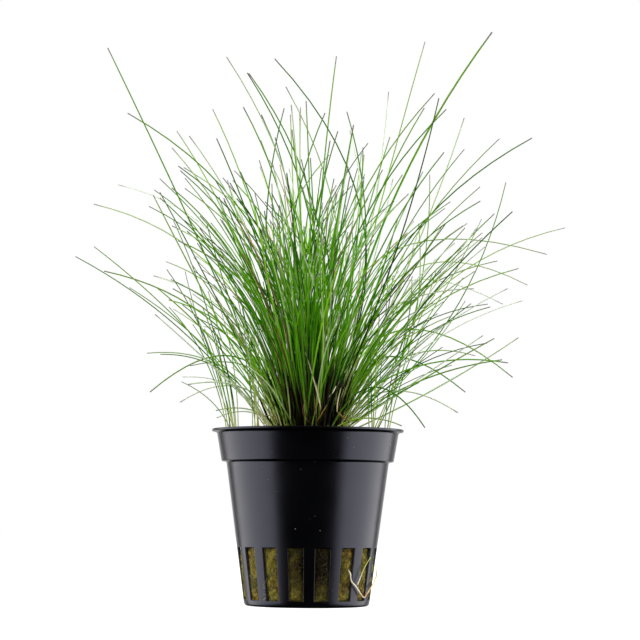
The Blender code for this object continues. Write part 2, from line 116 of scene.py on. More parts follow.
# All of them: least bow, how much of it lifts the fibre, curl aside, thickness, and how dark most are
FIBRE_BOW_LEAST = -0.1
FIBRE_LIFT = 0.4
FIBRE_CURL = 0.3
FIBRE_RADII = (0.03, 0.06)
FIBRE_DARKNESS = 1.8
FIBRE_POINTS = 5
FIBRE_SIDES = 3
FIBRE_SEED = 77
# Whiskers at the left edge of a front slot: angle from the front, then height, length and slope of each
WHISKER_ANGLE = -37.6
WHISKER_RADIUS = 0.035
WHISKER_TINT = 0.8
WHISKER_RISE = 0.6
WHISKER_SIDES = 4
WHISKERS = ((2.6, 1.5, -25), (3.0, 1.2, -50), (3.6, 1.0, 10), (5.2, 0.9, 25), (5.7, 1.1, 48), (6.4, 0.9, 70),
            (6.8, 1.1, 115))

# Loose strands: angle from the front in degrees, height and distance off the wall in millimetres
ROOT_STOPS = ((38, 10.6, -0.5), (37.9, 9.6, 0.75), (39.8, 7.4, 0.8), (45.6, 5.9, 0.8), (56.8, 2.9, 0.85),
              (64, 4.2, 0.8), (74.7, 6.3, 0.8), (82.7, 7.7, 0.8), (88.3, 8.8, 0.95), (88.5, 10.3, 0.8))
RUNNER_STOPS = ((61.3, 14, 0.75), (52.8, 10.8, 0.8), (49.5, 8.3, 0.8), (46.6, 6.4, 0.85))
# Their radii from one end to the other, seeds, steps from stop to stop, crookedness and unevenness
ROOT_RADII = (0.16, 0.2, 0.21, 0.23, 0.2, 0.19, 0.2, 0.13)
RUNNER_RADII = (0.09, 0.15, 0.18)
ROOT_SEED, RUNNER_SEED = 5, 6
STOP_STEPS = 5
STRAND_SIDES = 8
CROOKED = 0.05
UNEVEN = (0.88, 1.12)

# Grass, in millimetres, planned as its solids are
SEED = 14
CLUMP_TUFTS = 44
CLUMP_RADIUS = 9.8
SHEATH_RADIUS = 1.0
EDGE_SHEATH_RADIUS = 0.75
SHEATH_HEIGHT = 4.5
SHEATH_SLOPE = 0.7
EDGE_SHEATH_SLOPE = 0.1
CULM_RADIUS = 0.27
CULMS_AT_LEAD = 4
CULMS_LYING_LOW = 3
CULMS_IN_CLUMP = 3
CULMS_AT_EDGE = 3
FAN_LEAST = 0.02
FAN_MOST = 0.12
SHORTEST = 0.6
LONGEST = 0.85
REST_GAP = 0.3
CULM_GAP = 0.1
LIP_CLEARANCE = 1.0
LIP_HEADROOM = 0.8
ROOT_RING = 0.7
ROOT_RISE = 0.3
LOW_LEAN = 55.0
WIDEST_LEAN = 70.0
WIDEST_FREE_LEAN = 46.0
UPRIGHT_REACH = 108.0
REACH_LOST = 44.0
STRONG_ARCH = 0.3
FREE_ARCH_MOST = 0.35
LOOSENING = 0.002
DEPTH_SHIFT = 0.06
GOLDEN_ANGLE = math.radians(137.508)
# How fast culms get shorter as they lean, tips draw their feet outward, and tufts lean with their distance
REACH_POWER = 1.4
FOOT_POWER = 0.75
LEAN_POWER = 1.3
# Scatter of the clump's other tufts: lean and least lean in degrees, heading, and shares for length and arch
LEAN_SCATTER = (-12, 6)
LEAST_LEAN = 2
HEADING_SCATTER = 0.25
CLUMP_LENGTHS = (0.8, 1.0)
CLUMP_ARCHES = (0.08, 0.3)
# Scatter of the shorter culms: share of the longest one's arch, what is added to it, sway and thickness
FREE_ARCHES = (0.6, 1.1)
ARCH_LEAST = -0.03
ARCH_MOST = 0.05
ARCH_LOOSENING = 0.0008
SWAY_MOST = 0.06
FREE_WIDTHS = (0.85, 1.05)
SAME_TIP = 0.1
NO_OWNER = -1
TRIES = 200
PATH_SAMPLES = 8
# Tip of a tuft's longest culm as x, y, z, and how far it arches, as a share of its length
LEAD_TIPS = (
    (-59.8, 6, 162.3, 0.01), (-52.4, -8, 140.3, 0.34), (-23.9, -14, 155.6, 0.26), (-10.5, 2, 158.3, 0.39),
    (-40.2, 22, 140.5, 0.12), (-45.6, -12, 112.8, 0.35), (-65.7, 30, 119.3, 0.33), (-66.9, -6, 99, 0.13),
    (-43.2, 26, 101.4, 0.33), (-43.1, -16, 81.6, 0.03), (-47.8, 16, 73, 0.38), (-44.7, -10, 60.1, 0.8),
    (-38.2, 22, 58.9, 0.53), (7.6, 14, 162, 0.08), (34.5, 24, 168.8, 0.02), (52.4, -6, 165.1, 0.13),
    (35.3, -16, 145.1, 0.25), (23.7, 30, 154.5, -0.09), (46, 18, 144.4, -0.05), (64.1, -4, 134.6, 0.27),
    (53.2, -22, 131.2, 0.17), (58.1, 14, 124.4, -0.19), (76.6, 24, 112.1, 0.24), (68.7, 0, 101.3, 0.78),
    (55.8, -18, 89.4, 0.14), (56.2, -10, 68.8, 0.04), (61.4, 10, 77.9, -0.05), (43.4, 8, 55.6, 0.4),
    (32.9, -14, 50.4, 0.9),
)
# Further tips that can be told apart, each for the tuft that points its way best
MORE_TIPS = (
    (-17.8, -18, 150.2, 0.36), (-18.1, 4, 154.6, 0.26), (-7.1, -3, 149, 0.38), (10.7, 6, 143.6, -0.23),
    (12.7, 12, 140.1, 0.05), (33, -4, 143.3, 0.12), (39.1, -10, 142.1, 0.37), (15.1, -14, 129.8, -0.09),
    (8, -4, 136, 0.29), (11.8, 20, 140.3, 0.44), (-7.7, 8, 144.6, -0.19), (-6.1, 22, 145.8, -0.02),
    (-3.1, 26, 148.7, -0.13), (-14, -8, 140.2, 0.21), (-18.5, -26, 138.8, 0.35), (36.6, -12, 144, -0.05),
    (39, 0, 131.1, 0.21), (43.9, -14, 129.5, 0.15), (47.3, -28, 116.6, 0.2), (57.9, -10, 112.3, 0.09),
    (52.1, 30, 115.6, -0.08), (53.8, -8, 98.4, 0.38), (66.6, 36, 96.2, 0.78), (59.4, 40, 90.7, 0.78),
    (50.3, -24, 83.5, 0.37), (46.7, -12, 89.8, 0.43), (48.8, -20, 76, 0.01), (53.8, 2, 77.1, 0.07),
    (56.2, 4, 71, 0.16), (60.1, 14, 66.5, 0.75), (48.8, 18, 72.6, 0.23), (46, 12, 61.9, 0.78),
    (-43.5, -20, 116.3, 0.29), (-58.7, 34, 125.9, 0.39), (-62.5, 2, 102.9, 0.08), (-57.7, -16, 93.8, 0.3),
    (-35.8, -30, 100.5, 0.43), (-37.8, -22, 88.3, 0.24), (-45.3, 16, 92.6, 0.09), (-43, 2, 71.9, 0.5),
    (-33.6, -18, 61.9, 0.33), (-35.1, 12, 69.4, 0.63), (-35.3, 28, 92.2, 0.09), (-29.6, 24, 147.6, 0.12),
    (-33.9, -18, 131.8, 0.15), (-40.5, 6, 132.7, 0.18), (-25.9, -26, 130, 0.1),
)
# Foot of each tuft near the pot's edge as x and y, then its longest culm as above
EDGE_CULMS = (
    ((-22.4, 2), (-42, 12, 97.5, 0.14)), ((-20.6, 8.5), (-40.6, 18, 112.8, 0.08)),
    ((-20.4, -7), (-30, -11, 84, 0.08)), ((-15.6, 14), (-24, 18, 100, 0.08)),
    ((-13.8, -12), (-18, -16, 76, 0.05)), ((22.3, 2), (36, 4, 96, 0.08)),
    ((18.3, 10.5), (35.3, 10, 125.9, -0.12)), ((17.8, -10.5), (20, -13, 82, 0.04)),
    ((3, 18), (1, 31, 110, 0.1)),
)
STOUT_TIP = (52.4, -6, 165.1)
STOUT_WIDTH = 1.5

# Visible culms, in millimetres: threads finer than their solids
THREAD_RADIUS = 0.215
THREAD_TIP_RADIUS = 0.17
THREAD_SIDES = 6
MAIN_POINTS = 18
FINE_POINTS = 15
# How far they waver, for their length, and how often
MAIN_WAVER = 0.002
FINE_WAVER = 0.006
WAVES = (0.7, 1.8)
# Fine culms in a tuft that stands straight up, in one that lies flat and at the edge, and their scatter
FINE_CULMS_MOST = 24
FINE_CULMS_LEAST = -14
FINE_CULMS_AT_EDGE = 1
FINE_SPREAD = 6
# Their roots: height up the sheath and distance from its middle, as shares
FINE_ROOT_RISE = 0.1
FINE_ROOT_RING = (0.1, 1.1)
# How they fan out: sideways, the share of it in a tuft that lies flat, any way, and all of a tuft together
FINE_FAN = 0.34
FAN_LYING_FLAT = 0.4
FAN_ANY_WAY = 0.7
SWERVE = 0.25
# Their least length and its range, as shares of the usual one, then arch, sway and thickness
FINE_SHORTEST = 0.38
FINE_LENGTH_RANGE = 0.46
FINE_ARCHES = (0.5, 1.1)
FINE_ARCH_ADDED = (-0.1, 0.14)
FINE_SWAY = 0.14
FINE_WIDTHS = (0.68, 0.98)
# No fine culm reaches further back than the solids do, or comes nearer than this to the lip
FARTHEST_BACK = 52.3
LIP_MARGIN = 0.5
COLLAR_MARGIN = 2
# Kinked culms: their share, where the kink is, how it rises or falls, and how sharp it is
KINKED_SHARE = 0.06
KINK_PLACES = (0.55, 0.8)
KINK_RISES = (-0.6, 0.2)
KINK_TURN = 0.5
# Tints, from dark to pale: mean and scatter of fresh culms, then those of the stout, pale and dried ones
TINTS = (0.42, 0.24)
STOUT_TINT = 0.55
PALE_TINTS = (0.85, 1)
PALE_SHARE = 0.08
DRIED_TINTS = (0, 0.9)
DRIED_SHARE = 0.08
# What is added for a tuft that lies flat, and for each millimetre of a tip's depth beyond the first ones
PALER_LYING_FLAT = 0.2
PALER_BEHIND = 0.014
PALER_BEYOND = 6
# Brown and painted shade of the feet, where dead bases lie in shade: in the clump's middle, what is lost out
# to its side, the least, at the edge, and scatter
BROWN_AND_SHADE = 1.1
BROWN_AND_SHADE_LOST = 1.45
BROWN_AND_SHADE_LEAST = 0.05
BROWN_AND_SHADE_AT_EDGE = 0.1
BROWN_AND_SHADE_SCATTER = 0.2
# Share of the feet that stay green, and their level of brown and painted shade
GREEN_SHARE = 0.4
GREEN_FOOT_BROWN_AND_SHADE = (0.3, 0.5)
# Stubs of old sheaths: number, slope, scatter, lengths, how much shorter they are at the side, and radii
STUBS_IN_TUFT = 16
STUB_SLOPE = 0.028
STUB_SCATTER = 0.13
STUB_SHORTEST = 8
STUB_LONGEST = 32
STUB_LOSS = 14
STUB_ARCH = 0.03
STUB_WAVER = 0.02
STUB_RADII = np.array((0.26, 0.32, 0.32, 0.27, 0.2, 0.08))
STUB_WIDTHS = (0.7, 1.3)
STUB_SIDES = 5
# Shares of the clump's half width, out to where stubs of sheaths stand and from where culms are slender
STUBS_WITHIN = 0.9
SLENDER_BEYOND = 0.7
SLENDER = 0.78
# Places of the materials in a tuft's bunch
LIVING, DRIED, SHEATH = 0, 1, 2
# Throw of the dice for each tuft of the clump: of many tried, the one that fills the bush as the plant does
DICE_START = 1000
DICE_STEP = 100
THROWS = (51, 38, 37, 42, 32, 33, 0, 85, 75, 33, 77, 45, 49, 14, 41, 7, 34, 22, 27, 11, 10, 14,
          18, 60, 7, 65, 43, 74, 50, 45, 19, 12, 42, 63, 22, 79, 0, 35, 19, 26, 20, 59, 34, 73)
# Dead strands at the clump's front: three points each as x, y, z, then radius and tint
DEAD_POINTS = 9
DEAD_TAPER = 0.5
DEAD_STRANDS = (
    ((-0.8, -19.0, 71.0), (2.2, -16.8, 62.6), (3.6, -14.6, 55.0), 0.15, 0.9),
    ((2.3, -15.4, 62.4), (3.0, -15.2, 58.4), (3.7, -14.9, 55.4), 0.2, 0.85),
    ((9.3, -12.5, 61.5), (7.9, -13.5, 56.5), (8.3, -13.6, 54.6), 0.2, 0.8),
    ((8.0, -13.2, 54.9), (9.4, -14.0, 53.4), (11.9, -14.4, 51.8), 0.22, 0.3),
    ((7.9, -12.4, 62.0), (7.2, -13.2, 60.4), (5.9, -13.4, 58.8), 0.2, 1.0),
    ((2.0, -13.4, 59.8), (1.7, -14.0, 56.6), (2.5, -13.8, 53.4), 0.17, 0.3),
    ((5.5, -13.4, 56.9), (4.2, -14.0, 54.8), (2.7, -13.8, 52.0), 0.17, 0.45),
    ((1.6, -13.0, 60.4), (-2.0, -14.0, 57.8), (-1.2, -13.8, 53.2), 0.12, 0.3),
    ((1.0, -13.4, 56.2), (-2.6, -14.2, 55.4), (0.4, -14.0, 51.6), 0.12, 0.25),
    ((-8.6, -9.0, 52.0), (-9.5, -9.4, 54.4), (-12.6, -9.8, 53.4), 0.14, 0.6),
    ((-10.5, -8.0, 49.4), (-11.5, -8.6, 51.6), (-13.4, -9.0, 51.9), 0.12, 0.7),
)
# Dry grit on the pot: angle from the front in degrees, height and grain radius, then two grains that lie
# further out or in, with how far out of the wall they are
GRIT_OUT = 0.02
GRIT = (
    (-57.2, 48.8, 0.13), (25.5, 47.1, 0.12), (66.4, 45.7, 0.12), (30.5, 44.6, 0.09), (-70.8, 42.3, 0.12),
    (-36.4, 42.8, 0.08), (-65, 44.2, 0.07), (-23.3, 43, 0.06), (-32.8, 39, 0.09), (-28.8, 35.5, 0.08),
    (-22.5, 32.2, 0.08), (-73.2, 31.5, 0.11), (-8.7, 21.9, 0.11), (10.2, 21.5, 0.1), (6.1, 25.4, 0.08),
    (1.9, 24.5, 0.07), (-4.5, 38.3, 0.08), (5.3, 40.5, 0.1), (23.1, 5, 0.08),
)
ODD_GRIT = ((11.9, 50.2, 0.13, 1.1), (10.4, 8.6, 0.24, -1.05))
GRIT_SQUASH = (0.6, 1)
GRIT_LUMPS = 0.25
GRIT_SEED = 9

# Soft boxes: name, place and aim in metres, width and height, watts, and whether gleams show them
SOFT_BOXES = (
    ("soft_box_left", (-0.5, 0.02, 0.24), (0, 0.02, 0.24), (0.92, 1.0), 7.2, True),
    ("soft_box_right", (0.5, 0.05, 0.24), (0, 0.05, 0.24), (0.92, 1.0), 7.7, True),
    ("front_fill", (0.05, -0.7, 0.9), (0, 0, 0.06), (0.7, 0.5), 2.0, False),
    ("top_fill", (0, 0.2, 0.75), (0, 0, 0.06), (0.8, 0.6), 7.0, False),
)
# Camera: place and focal length in millimetres, tilt and roll in degrees
CAMERA_PLACE = (3.25, -620, 26.5)
FOCAL_LENGTH = 121.4
TILT = 5.095
ROLL = 0.4
# White card, in metres
CARD_RADIUS = 1.6

Culm = namedtuple("Culm", "root tip arch sway width")
Tuft = namedtuple("Tuft", "name foot tip arch count sheath turn")


# Plan of the grass, as the solids have it

def arc_at(start, bend, end, t):
    """Place at t on the curve from start to end that a control point bends."""
    return start * (1 - t) ** 2 + bend * 2 * t * (1 - t) + end * t ** 2


def round_at(angle, radius=1, height=0):
    """Place at an angle round the pot's axis, a distance from it and a height."""
    return (radius * math.cos(angle), radius * math.sin(angle), height)


def any_way(dice):
    """A short arrow in any direction."""
    return Vector((dice.uniform(-1, 1), dice.uniform(-1, 1), dice.uniform(-1, 1)))


def wall_radius(height):
    """Outer radius of the pot's tapered body at a height."""
    rise = (height - FOOT_CORNER) / (COLLAR_BOTTOM - FOOT_CORNER)
    return BODY_FOOT_RADIUS + (BODY_TOP_RADIUS - BODY_FOOT_RADIUS) * rise


def bend_point(culm):
    """Control point that arches a culm outward as it rises."""
    chord = culm.tip - culm.root
    along = chord.normalized()
    lift = (Vector((0, 0, 1)) - along * along.z).normalized()
    side = along.cross(lift)
    middle = (culm.root + culm.tip) / 2
    return middle + (lift * culm.arch + side * culm.sway) * chord.length


def culm_points(culm):
    """Points along a culm, closer together where it arches strongly."""
    bend = bend_point(culm)
    pieces = 3 if abs(culm.arch) < STRONG_ARCH else 4
    return [arc_at(culm.root, bend, culm.tip, step / pieces) for step in range(pieces + 1)]


def segment_distances(start, end, starts, ends):
    """Shortest distance from one straight segment to each of many."""
    own = end - start
    others = ends - starts
    between = start - starts
    own_square = own @ own
    other_squares = (others * others).sum(axis=1)
    mixed = others @ own
    own_part = between @ own
    other_parts = (others * between).sum(axis=1)
    spread = np.maximum(own_square * other_squares - mixed ** 2, 1e-9)
    s = np.clip((mixed * other_parts - own_part * other_squares) / spread, 0, 1)
    t = np.clip((mixed * s + other_parts) / other_squares, 0, 1)
    s = np.clip((mixed * t - own_part) / own_square, 0, 1)
    apart = between + s[:, None] * own - t[:, None] * others
    return np.linalg.norm(apart, axis=1)


class Thicket:
    """The centre lines placed so far, to keep culms and sheaths from touching each other."""

    def __init__(self):
        self.starts = np.empty((0, 3))
        self.ends = np.empty((0, 3))
        self.radii = np.empty(0)
        self.owners = np.empty(0, dtype=int)

    def add(self, owner, points, radius):
        path = np.array([tuple(point) for point in points])
        count = len(path) - 1
        self.starts = np.vstack((self.starts, path[:-1]))
        self.ends = np.vstack((self.ends, path[1:]))
        self.radii = np.append(self.radii, np.full(count, radius))
        self.owners = np.append(self.owners, np.full(count, owner))

    def room(self, owner, points, radius):
        """Least gap between a new culm and all that is placed, but for its own tuft's sheath."""
        others = self.owners != owner
        if not others.any():
            return math.inf
        path = np.array([tuple(point) for point in points])
        least = math.inf
        for start, end in zip(path[:-1], path[1:]):
            gaps = segment_distances(start, end, self.starts[others], self.ends[others])
            least = min(least, float((gaps - self.radii[others]).min()) - radius)
        return least


def clears_pot(points):
    """Whether a culm passes over the lip and stays above the wool."""
    for start, end in zip(points[:-1], points[1:]):
        for step in range(PATH_SAMPLES + 1):
            point = start.lerp(end, step / PATH_SAMPLES)
            reach = math.hypot(point.x, point.y)
            if reach < LIP_RADIUS + LIP_CLEARANCE:
                over_rim = reach > COLLAR_TOP_RADIUS - WALL - LIP_CLEARANCE
                floor = POT_HEIGHT + LIP_HEADROOM if over_rim else PLUG_TOP + REST_GAP + CULM_RADIUS
                if point.z < floor:
                    return False
    return True


def lean_of(tip, foot):
    """Angle of the line from foot to tip away from upright, in degrees."""
    return math.degrees(math.atan2(math.hypot(tip.x - foot.x, tip.y - foot.y), tip.z - foot.z))


def reach_at(lean):
    """Usual length of a culm that leans this many degrees."""
    return UPRIGHT_REACH - REACH_LOST * (lean / WIDEST_LEAN) ** REACH_POWER


def clump_feet():
    """Feet of the clump's tufts, spread evenly over a disc."""
    feet = []
    for index in range(CLUMP_TUFTS):
        radius = CLUMP_RADIUS * math.sqrt((index + 0.5) / CLUMP_TUFTS)
        feet.append(Vector(round_at(index * GOLDEN_ANGLE, radius, PLUG_TOP + REST_GAP)))
    return feet


def take_nearest(feet, tip):
    """Remove and return the free foot that suits a tip best: the more it leans, the further out."""
    lean = lean_of(tip, Vector((0, 0, PLUG_TOP)))
    share = min(lean / WIDEST_LEAN, 1) ** FOOT_POWER
    wanted = Vector((tip.x, tip.y, 0)).normalized() * CLUMP_RADIUS * share
    best = min(feet, key=lambda foot: (foot.xy - wanted.xy).length)
    feet.remove(best)
    return best


def plan_tufts(dice):
    """Foot and longest tip of each tuft: the chosen ones, the rest of the clump, then the edge."""
    feet = clump_feet()
    tufts = []

    def add(name, foot, tip, arch, count, sheath=SHEATH_RADIUS):
        tufts.append(Tuft(name, foot, tip, arch, count, sheath, dice.uniform(0, math.tau)))

    for number, (x, y, z, arch) in enumerate(LEAD_TIPS, 1):
        tip = Vector((x, y, z))
        foot = take_nearest(feet, tip)
        count = CULMS_LYING_LOW if lean_of(tip, foot) > LOW_LEAN else CULMS_AT_LEAD
        add("tuft_%02d" % number, foot, tip, arch, count)
    for number, foot in enumerate(feet, len(LEAD_TIPS) + 1):
        outward = foot.xy.length / CLUMP_RADIUS
        lean = WIDEST_FREE_LEAN * outward ** LEAN_POWER + dice.uniform(*LEAN_SCATTER)
        lean = math.radians(max(lean, LEAST_LEAN))
        angle = math.atan2(foot.y, foot.x) + dice.uniform(-HEADING_SCATTER, HEADING_SCATTER)
        length = reach_at(math.degrees(lean)) * dice.uniform(*CLUMP_LENGTHS)
        away = Vector(round_at(angle, math.sin(lean), math.cos(lean)))
        add("tuft_%02d" % number, foot, foot + away * length, dice.uniform(*CLUMP_ARCHES), CULMS_IN_CLUMP)
    for number, ((foot_x, foot_y), (x, y, z, arch)) in enumerate(EDGE_CULMS, 1):
        foot = Vector((foot_x, foot_y, PLUG_TOP + REST_GAP))
        add("edge_tuft_%d" % number, foot, Vector((x, y, z)), arch, CULMS_AT_EDGE, EDGE_SHEATH_RADIUS)
    return tufts


def share_out(tufts):
    """The further tips by tuft: each goes to the tuft with a free place that points its way best."""
    shares = {tuft.name: [] for tuft in tufts}
    for x, y, z, arch in MORE_TIPS:
        tip = Vector((x, y, z))
        able = [tuft for tuft in tufts
                if tuft.sheath == SHEATH_RADIUS and len(shares[tuft.name]) < tuft.count - 1]
        best = min(able, key=lambda tuft: (tip - tuft.foot).angle(tuft.tip - tuft.foot))
        shares[best.name].append((tip, arch))
    return shares


def sheath_top(tuft):
    """Top of a tuft's sheath: sheaths lean out from the middle of the pot, the outer ones most."""
    slope = SHEATH_SLOPE if tuft.sheath == SHEATH_RADIUS else EDGE_SHEATH_SLOPE
    away = Vector((tuft.foot.x * slope / CLUMP_RADIUS, tuft.foot.y * slope / CLUMP_RADIUS, 1))
    return tuft.foot + away.normalized() * SHEATH_HEIGHT


def ring_direction(tuft, place):
    """Direction from a tuft's middle to one of the evenly spaced places round it."""
    return Vector(round_at(tuft.turn + place * math.tau / tuft.count))


def culm_root(tuft, place):
    """Where a culm starts, inside the lower part of its sheath."""
    middle = tuft.foot.lerp(sheath_top(tuft), ROOT_RISE)
    return middle + ring_direction(tuft, place) * tuft.sheath * ROOT_RING


def aimed_culm(tuft, place, tip, arch, dice, attempt):
    """A culm with a known tip, bent and shifted a little more at each further attempt."""
    loose = LOOSENING * attempt
    width = STOUT_WIDTH if (tip - Vector(STOUT_TIP)).length < SAME_TIP else 1
    arch += dice.uniform(-loose, loose)
    shift = Vector((0, dice.uniform(-1, 1), 0)) * DEPTH_SHIFT * attempt
    return Culm(culm_root(tuft, place), tip + shift, arch, dice.uniform(-loose, loose), width)


def free_culm(tuft, place, dice, attempt):
    """A shorter culm that fans out to its own side of the tuft's longest one."""
    root = culm_root(tuft, place)
    chord = tuft.tip - root
    aside = ring_direction(tuft, place) * dice.uniform(FAN_LEAST, FAN_MOST)
    aside += any_way(dice) * FAN_MOST / 2
    length = chord.length * dice.uniform(SHORTEST, LONGEST)
    tip = root + (chord.normalized() + aside).normalized() * length
    arch = min(tuft.arch, FREE_ARCH_MOST) * dice.uniform(*FREE_ARCHES)
    arch += dice.uniform(ARCH_LEAST, ARCH_MOST + ARCH_LOOSENING * attempt)
    return Culm(root, tip, arch, dice.uniform(-SWAY_MOST, SWAY_MOST), dice.uniform(*FREE_WIDTHS))


def place_culm(thicket, owner, dice, draw, *details):
    """Draw culms until one keeps clear of the pot and of all others."""
    for attempt in range(TRIES):
        culm = draw(*details, dice, attempt)
        points = culm_points(culm)
        radius = CULM_RADIUS * culm.width
        if clears_pot(points) and thicket.room(owner, points, radius) > CULM_GAP:
            thicket.add(NO_OWNER, points, radius)
            return culm
    return None


def grow_grass():
    """All tufts with their culms: those with known tips first, so that they get the room they need."""
    dice = random.Random(SEED)
    tufts = plan_tufts(dice)
    shares = share_out(tufts)
    thicket = Thicket()
    for owner, tuft in enumerate(tufts):
        thicket.add(owner, (tuft.foot, sheath_top(tuft)), tuft.sheath)
    grown = []
    places = []
    for owner, tuft in enumerate(tufts):
        grown.append([place_culm(thicket, owner, dice, aimed_culm, tuft, 0, tuft.tip, tuft.arch)])
        places.append(set(range(1, tuft.count)))
    for owner, tuft in enumerate(tufts):
        for tip, arch in shares[tuft.name]:
            aside = (tip - tuft.foot).normalized() - (tuft.tip - tuft.foot).normalized()
            for place in sorted(places[owner], key=lambda number: -ring_direction(tuft, number).dot(aside)):
                culm = place_culm(thicket, owner, dice, aimed_culm, tuft, place, tip, arch)
                if culm:
                    grown[owner].append(culm)
                    places[owner].remove(place)
                    break
    for owner, tuft in enumerate(tufts):
        for place in sorted(places[owner]):
            grown[owner].append(place_culm(thicket, owner, dice, free_culm, tuft, place))
    return [(tuft, [culm for culm in culms if culm]) for tuft, culms in zip(tufts, grown)]


# Materials

def hex_color(code):
    """Linear colour of an sRGB hex value."""
    channels = [int(code[place:place + 2], 16) / 255 for place in (1, 3, 5)]
    linear = [c / 12.92 if c <= 0.04045 else ((c + 0.055) / 1.055) ** 2.4 for c in channels]
    return (*linear, 1)


def node(tree, kind, settings=None, links=None):
    """Add a node, set its properties or input values, and link its inputs to other outputs."""
    made = tree.nodes.new(kind)
    for key, value in (settings or {}).items():
        if isinstance(key, str) and hasattr(made, key):
            setattr(made, key, value)
        else:
            made.inputs[key].default_value = value
    for key, output in (links or {}).items():
        tree.links.new(output, made.inputs[key])
    return made


def new_material(name, values):
    """A material, its node tree and its shader's inputs, with values set on them by name."""
    made = bpy.data.materials.new(name)
    made.use_nodes = True
    inputs = made.node_tree.nodes["Principled BSDF"].inputs
    for key, value in values.items():
        inputs[key].default_value = value
    return made, made.node_tree, inputs


def ramp(tree, factor, stops):
    """A colour ramp from places and their sRGB hex values."""
    made = node(tree, "ShaderNodeValToRGB", links={"Fac": factor})
    elements = made.color_ramp.elements
    while len(elements) < len(stops):
        elements.new(0.5)
    for element, (place, code) in zip(elements, stops.items()):
        element.position = place
        element.color = hex_color(code)
    return made.outputs["Color"]


def object_place(tree):
    return node(tree, "ShaderNodeTexCoord").outputs["Object"]


def grain(tree, place, size, detail, roughness=0.5):
    """Noise for a pattern of this many millimetres, at a place in metres."""
    settings = {"Scale": 1 / (size * MM), "Detail": detail, "Roughness": roughness}
    return node(tree, "ShaderNodeTexNoise", settings, {"Vector": place}).outputs


def map_range(tree, value, settings):
    return node(tree, "ShaderNodeMapRange", settings, {"Value": value}).outputs[0]


def smooth_step(tree, value, low, high):
    return map_range(tree, value, {"interpolation_type": "SMOOTHSTEP", "From Min": low, "From Max": high})


def combined(tree, operation, first, second):
    return node(tree, "ShaderNodeMath", {"operation": operation}, {0: first, 1: second}).outputs[0]


def mixed(tree, factor, first, second, blend_type="MIX"):
    """Mix of two colours by a factor, which is a plain number or an output."""
    settings = {"data_type": "RGBA", "blend_type": blend_type}
    links = {"A": first, "B": second}
    (settings if isinstance(factor, float) else links)["Factor"] = factor
    return node(tree, "ShaderNodeMix", settings, links).outputs["Result"]


def bumped(tree, inputs, height, strength, depth):
    """Relief of this depth in millimetres on the shader."""
    bump = node(tree, "ShaderNodeBump", {"Strength": strength, "Distance": depth * MM}, {"Height": height})
    tree.links.new(bump.outputs["Normal"], inputs["Normal"])


def black_polypropylene():
    """Polypropylene, injection moulded and carbon black: near black with broad soft gleams."""
    made, tree, inputs = new_material("black_polypropylene_moulded",
                                      {"IOR": 1.49, "Specular Tint": (0.78, 0.78, 1, 1)})
    place = object_place(tree)
    haze = grain(tree, place, 9, 3.0)["Fac"]
    tree.links.new(ramp(tree, haze, {0.3: "#030304", 0.7: "#050507"}), inputs["Base Color"])
    # Handling leaves patches a little duller than the rest
    tree.links.new(map_range(tree, haze, {"To Min": 0.24, "To Max": 0.36}), inputs["Roughness"])
    bumped(tree, inputs, grain(tree, place, 0.5, 2.0)["Fac"], 0.05, 0.02)
    return made


def slot_walls_painted_light():
    """The same plastic on the slots' side walls, matt, with painted light: a little greyer than the skin,
    where light from the side falls into the slots.
    """
    made, tree, inputs = new_material("black_polypropylene_slot_walls_painted_light", {"Roughness": 0.6})
    painted_light_grey = ramp(tree, grain(tree, object_place(tree), 0.8, 2.0)["Fac"], {0.35: "#1C1C20", 0.65: "#38383C"})
    tree.links.new(painted_light_grey, inputs["Base Color"])
    return made


def mineral_wool():
    """Mineral wool, spun from melted rock and stained by algae: matt, matted, olive and brown."""
    made, tree, inputs = new_material("mineral_wool_spun", {"Roughness": 0.95, "Specular IOR Level": 0.15})
    place = object_place(tree)
    warp = grain(tree, place, 1.6, 2.0)["Color"]
    shift = node(tree, "ShaderNodeVectorMath", {"operation": "SCALE", "Scale": 1.2 * MM}, {0: warp})
    bent = node(tree, "ShaderNodeVectorMath", {"operation": "ADD"}, {0: place, 1: shift.outputs[0]})
    # Strands are drawn 0.2 mm wide, far coarser than real ones, so that they show
    strands = grain(tree, bent.outputs[0], 0.45, 4.0, 0.75)["Fac"]
    tufty = ramp(tree, strands, {0.3: "#181203", 0.42: "#584812", 0.55: "#937E27", 0.7: "#D2C26E"})
    stain = ramp(tree, grain(tree, place, 4.5, 2.0)["Fac"], {0.35: "#8A621C", 0.5: "#86803A", 0.65: "#55682A"})
    # Painted shade: the wool low at the front, in the shaded recesses of the front slots, is much darker than
    # the rest
    away = node(tree, "ShaderNodeVectorMath", {"operation": "DISTANCE", 1: SHADE_PATCH * MM}, {0: place})
    painted_shade_factor = smooth_step(tree, away.outputs["Value"], SHADE_PATCH_CORE * MM, SHADE_PATCH_REACH * MM)
    shade = ramp(tree, painted_shade_factor, {0.0: "#34342C", 1.0: "#FFFFFF"})
    color = mixed(tree, 1.0, mixed(tree, 0.4, tufty, stain), shade, "MULTIPLY")
    tree.links.new(color, inputs["Base Color"])
    bumped(tree, inputs, strands, 0.9, 0.35)
    return made


def strand_values(tree):
    """A strand's own values: how far along it a point lies, its tint, and how dark its foot is, from brown
    dead bases and painted shade.
    """
    own = node(tree, "ShaderNodeAttribute", {"attribute_name": "strand"}).outputs["Vector"]
    parts = node(tree, "ShaderNodeSeparateXYZ", links={"Vector": own}).outputs
    return {"along": parts["X"], "tint": parts["Y"], "foot_brown_and_shade": parts["Z"]}


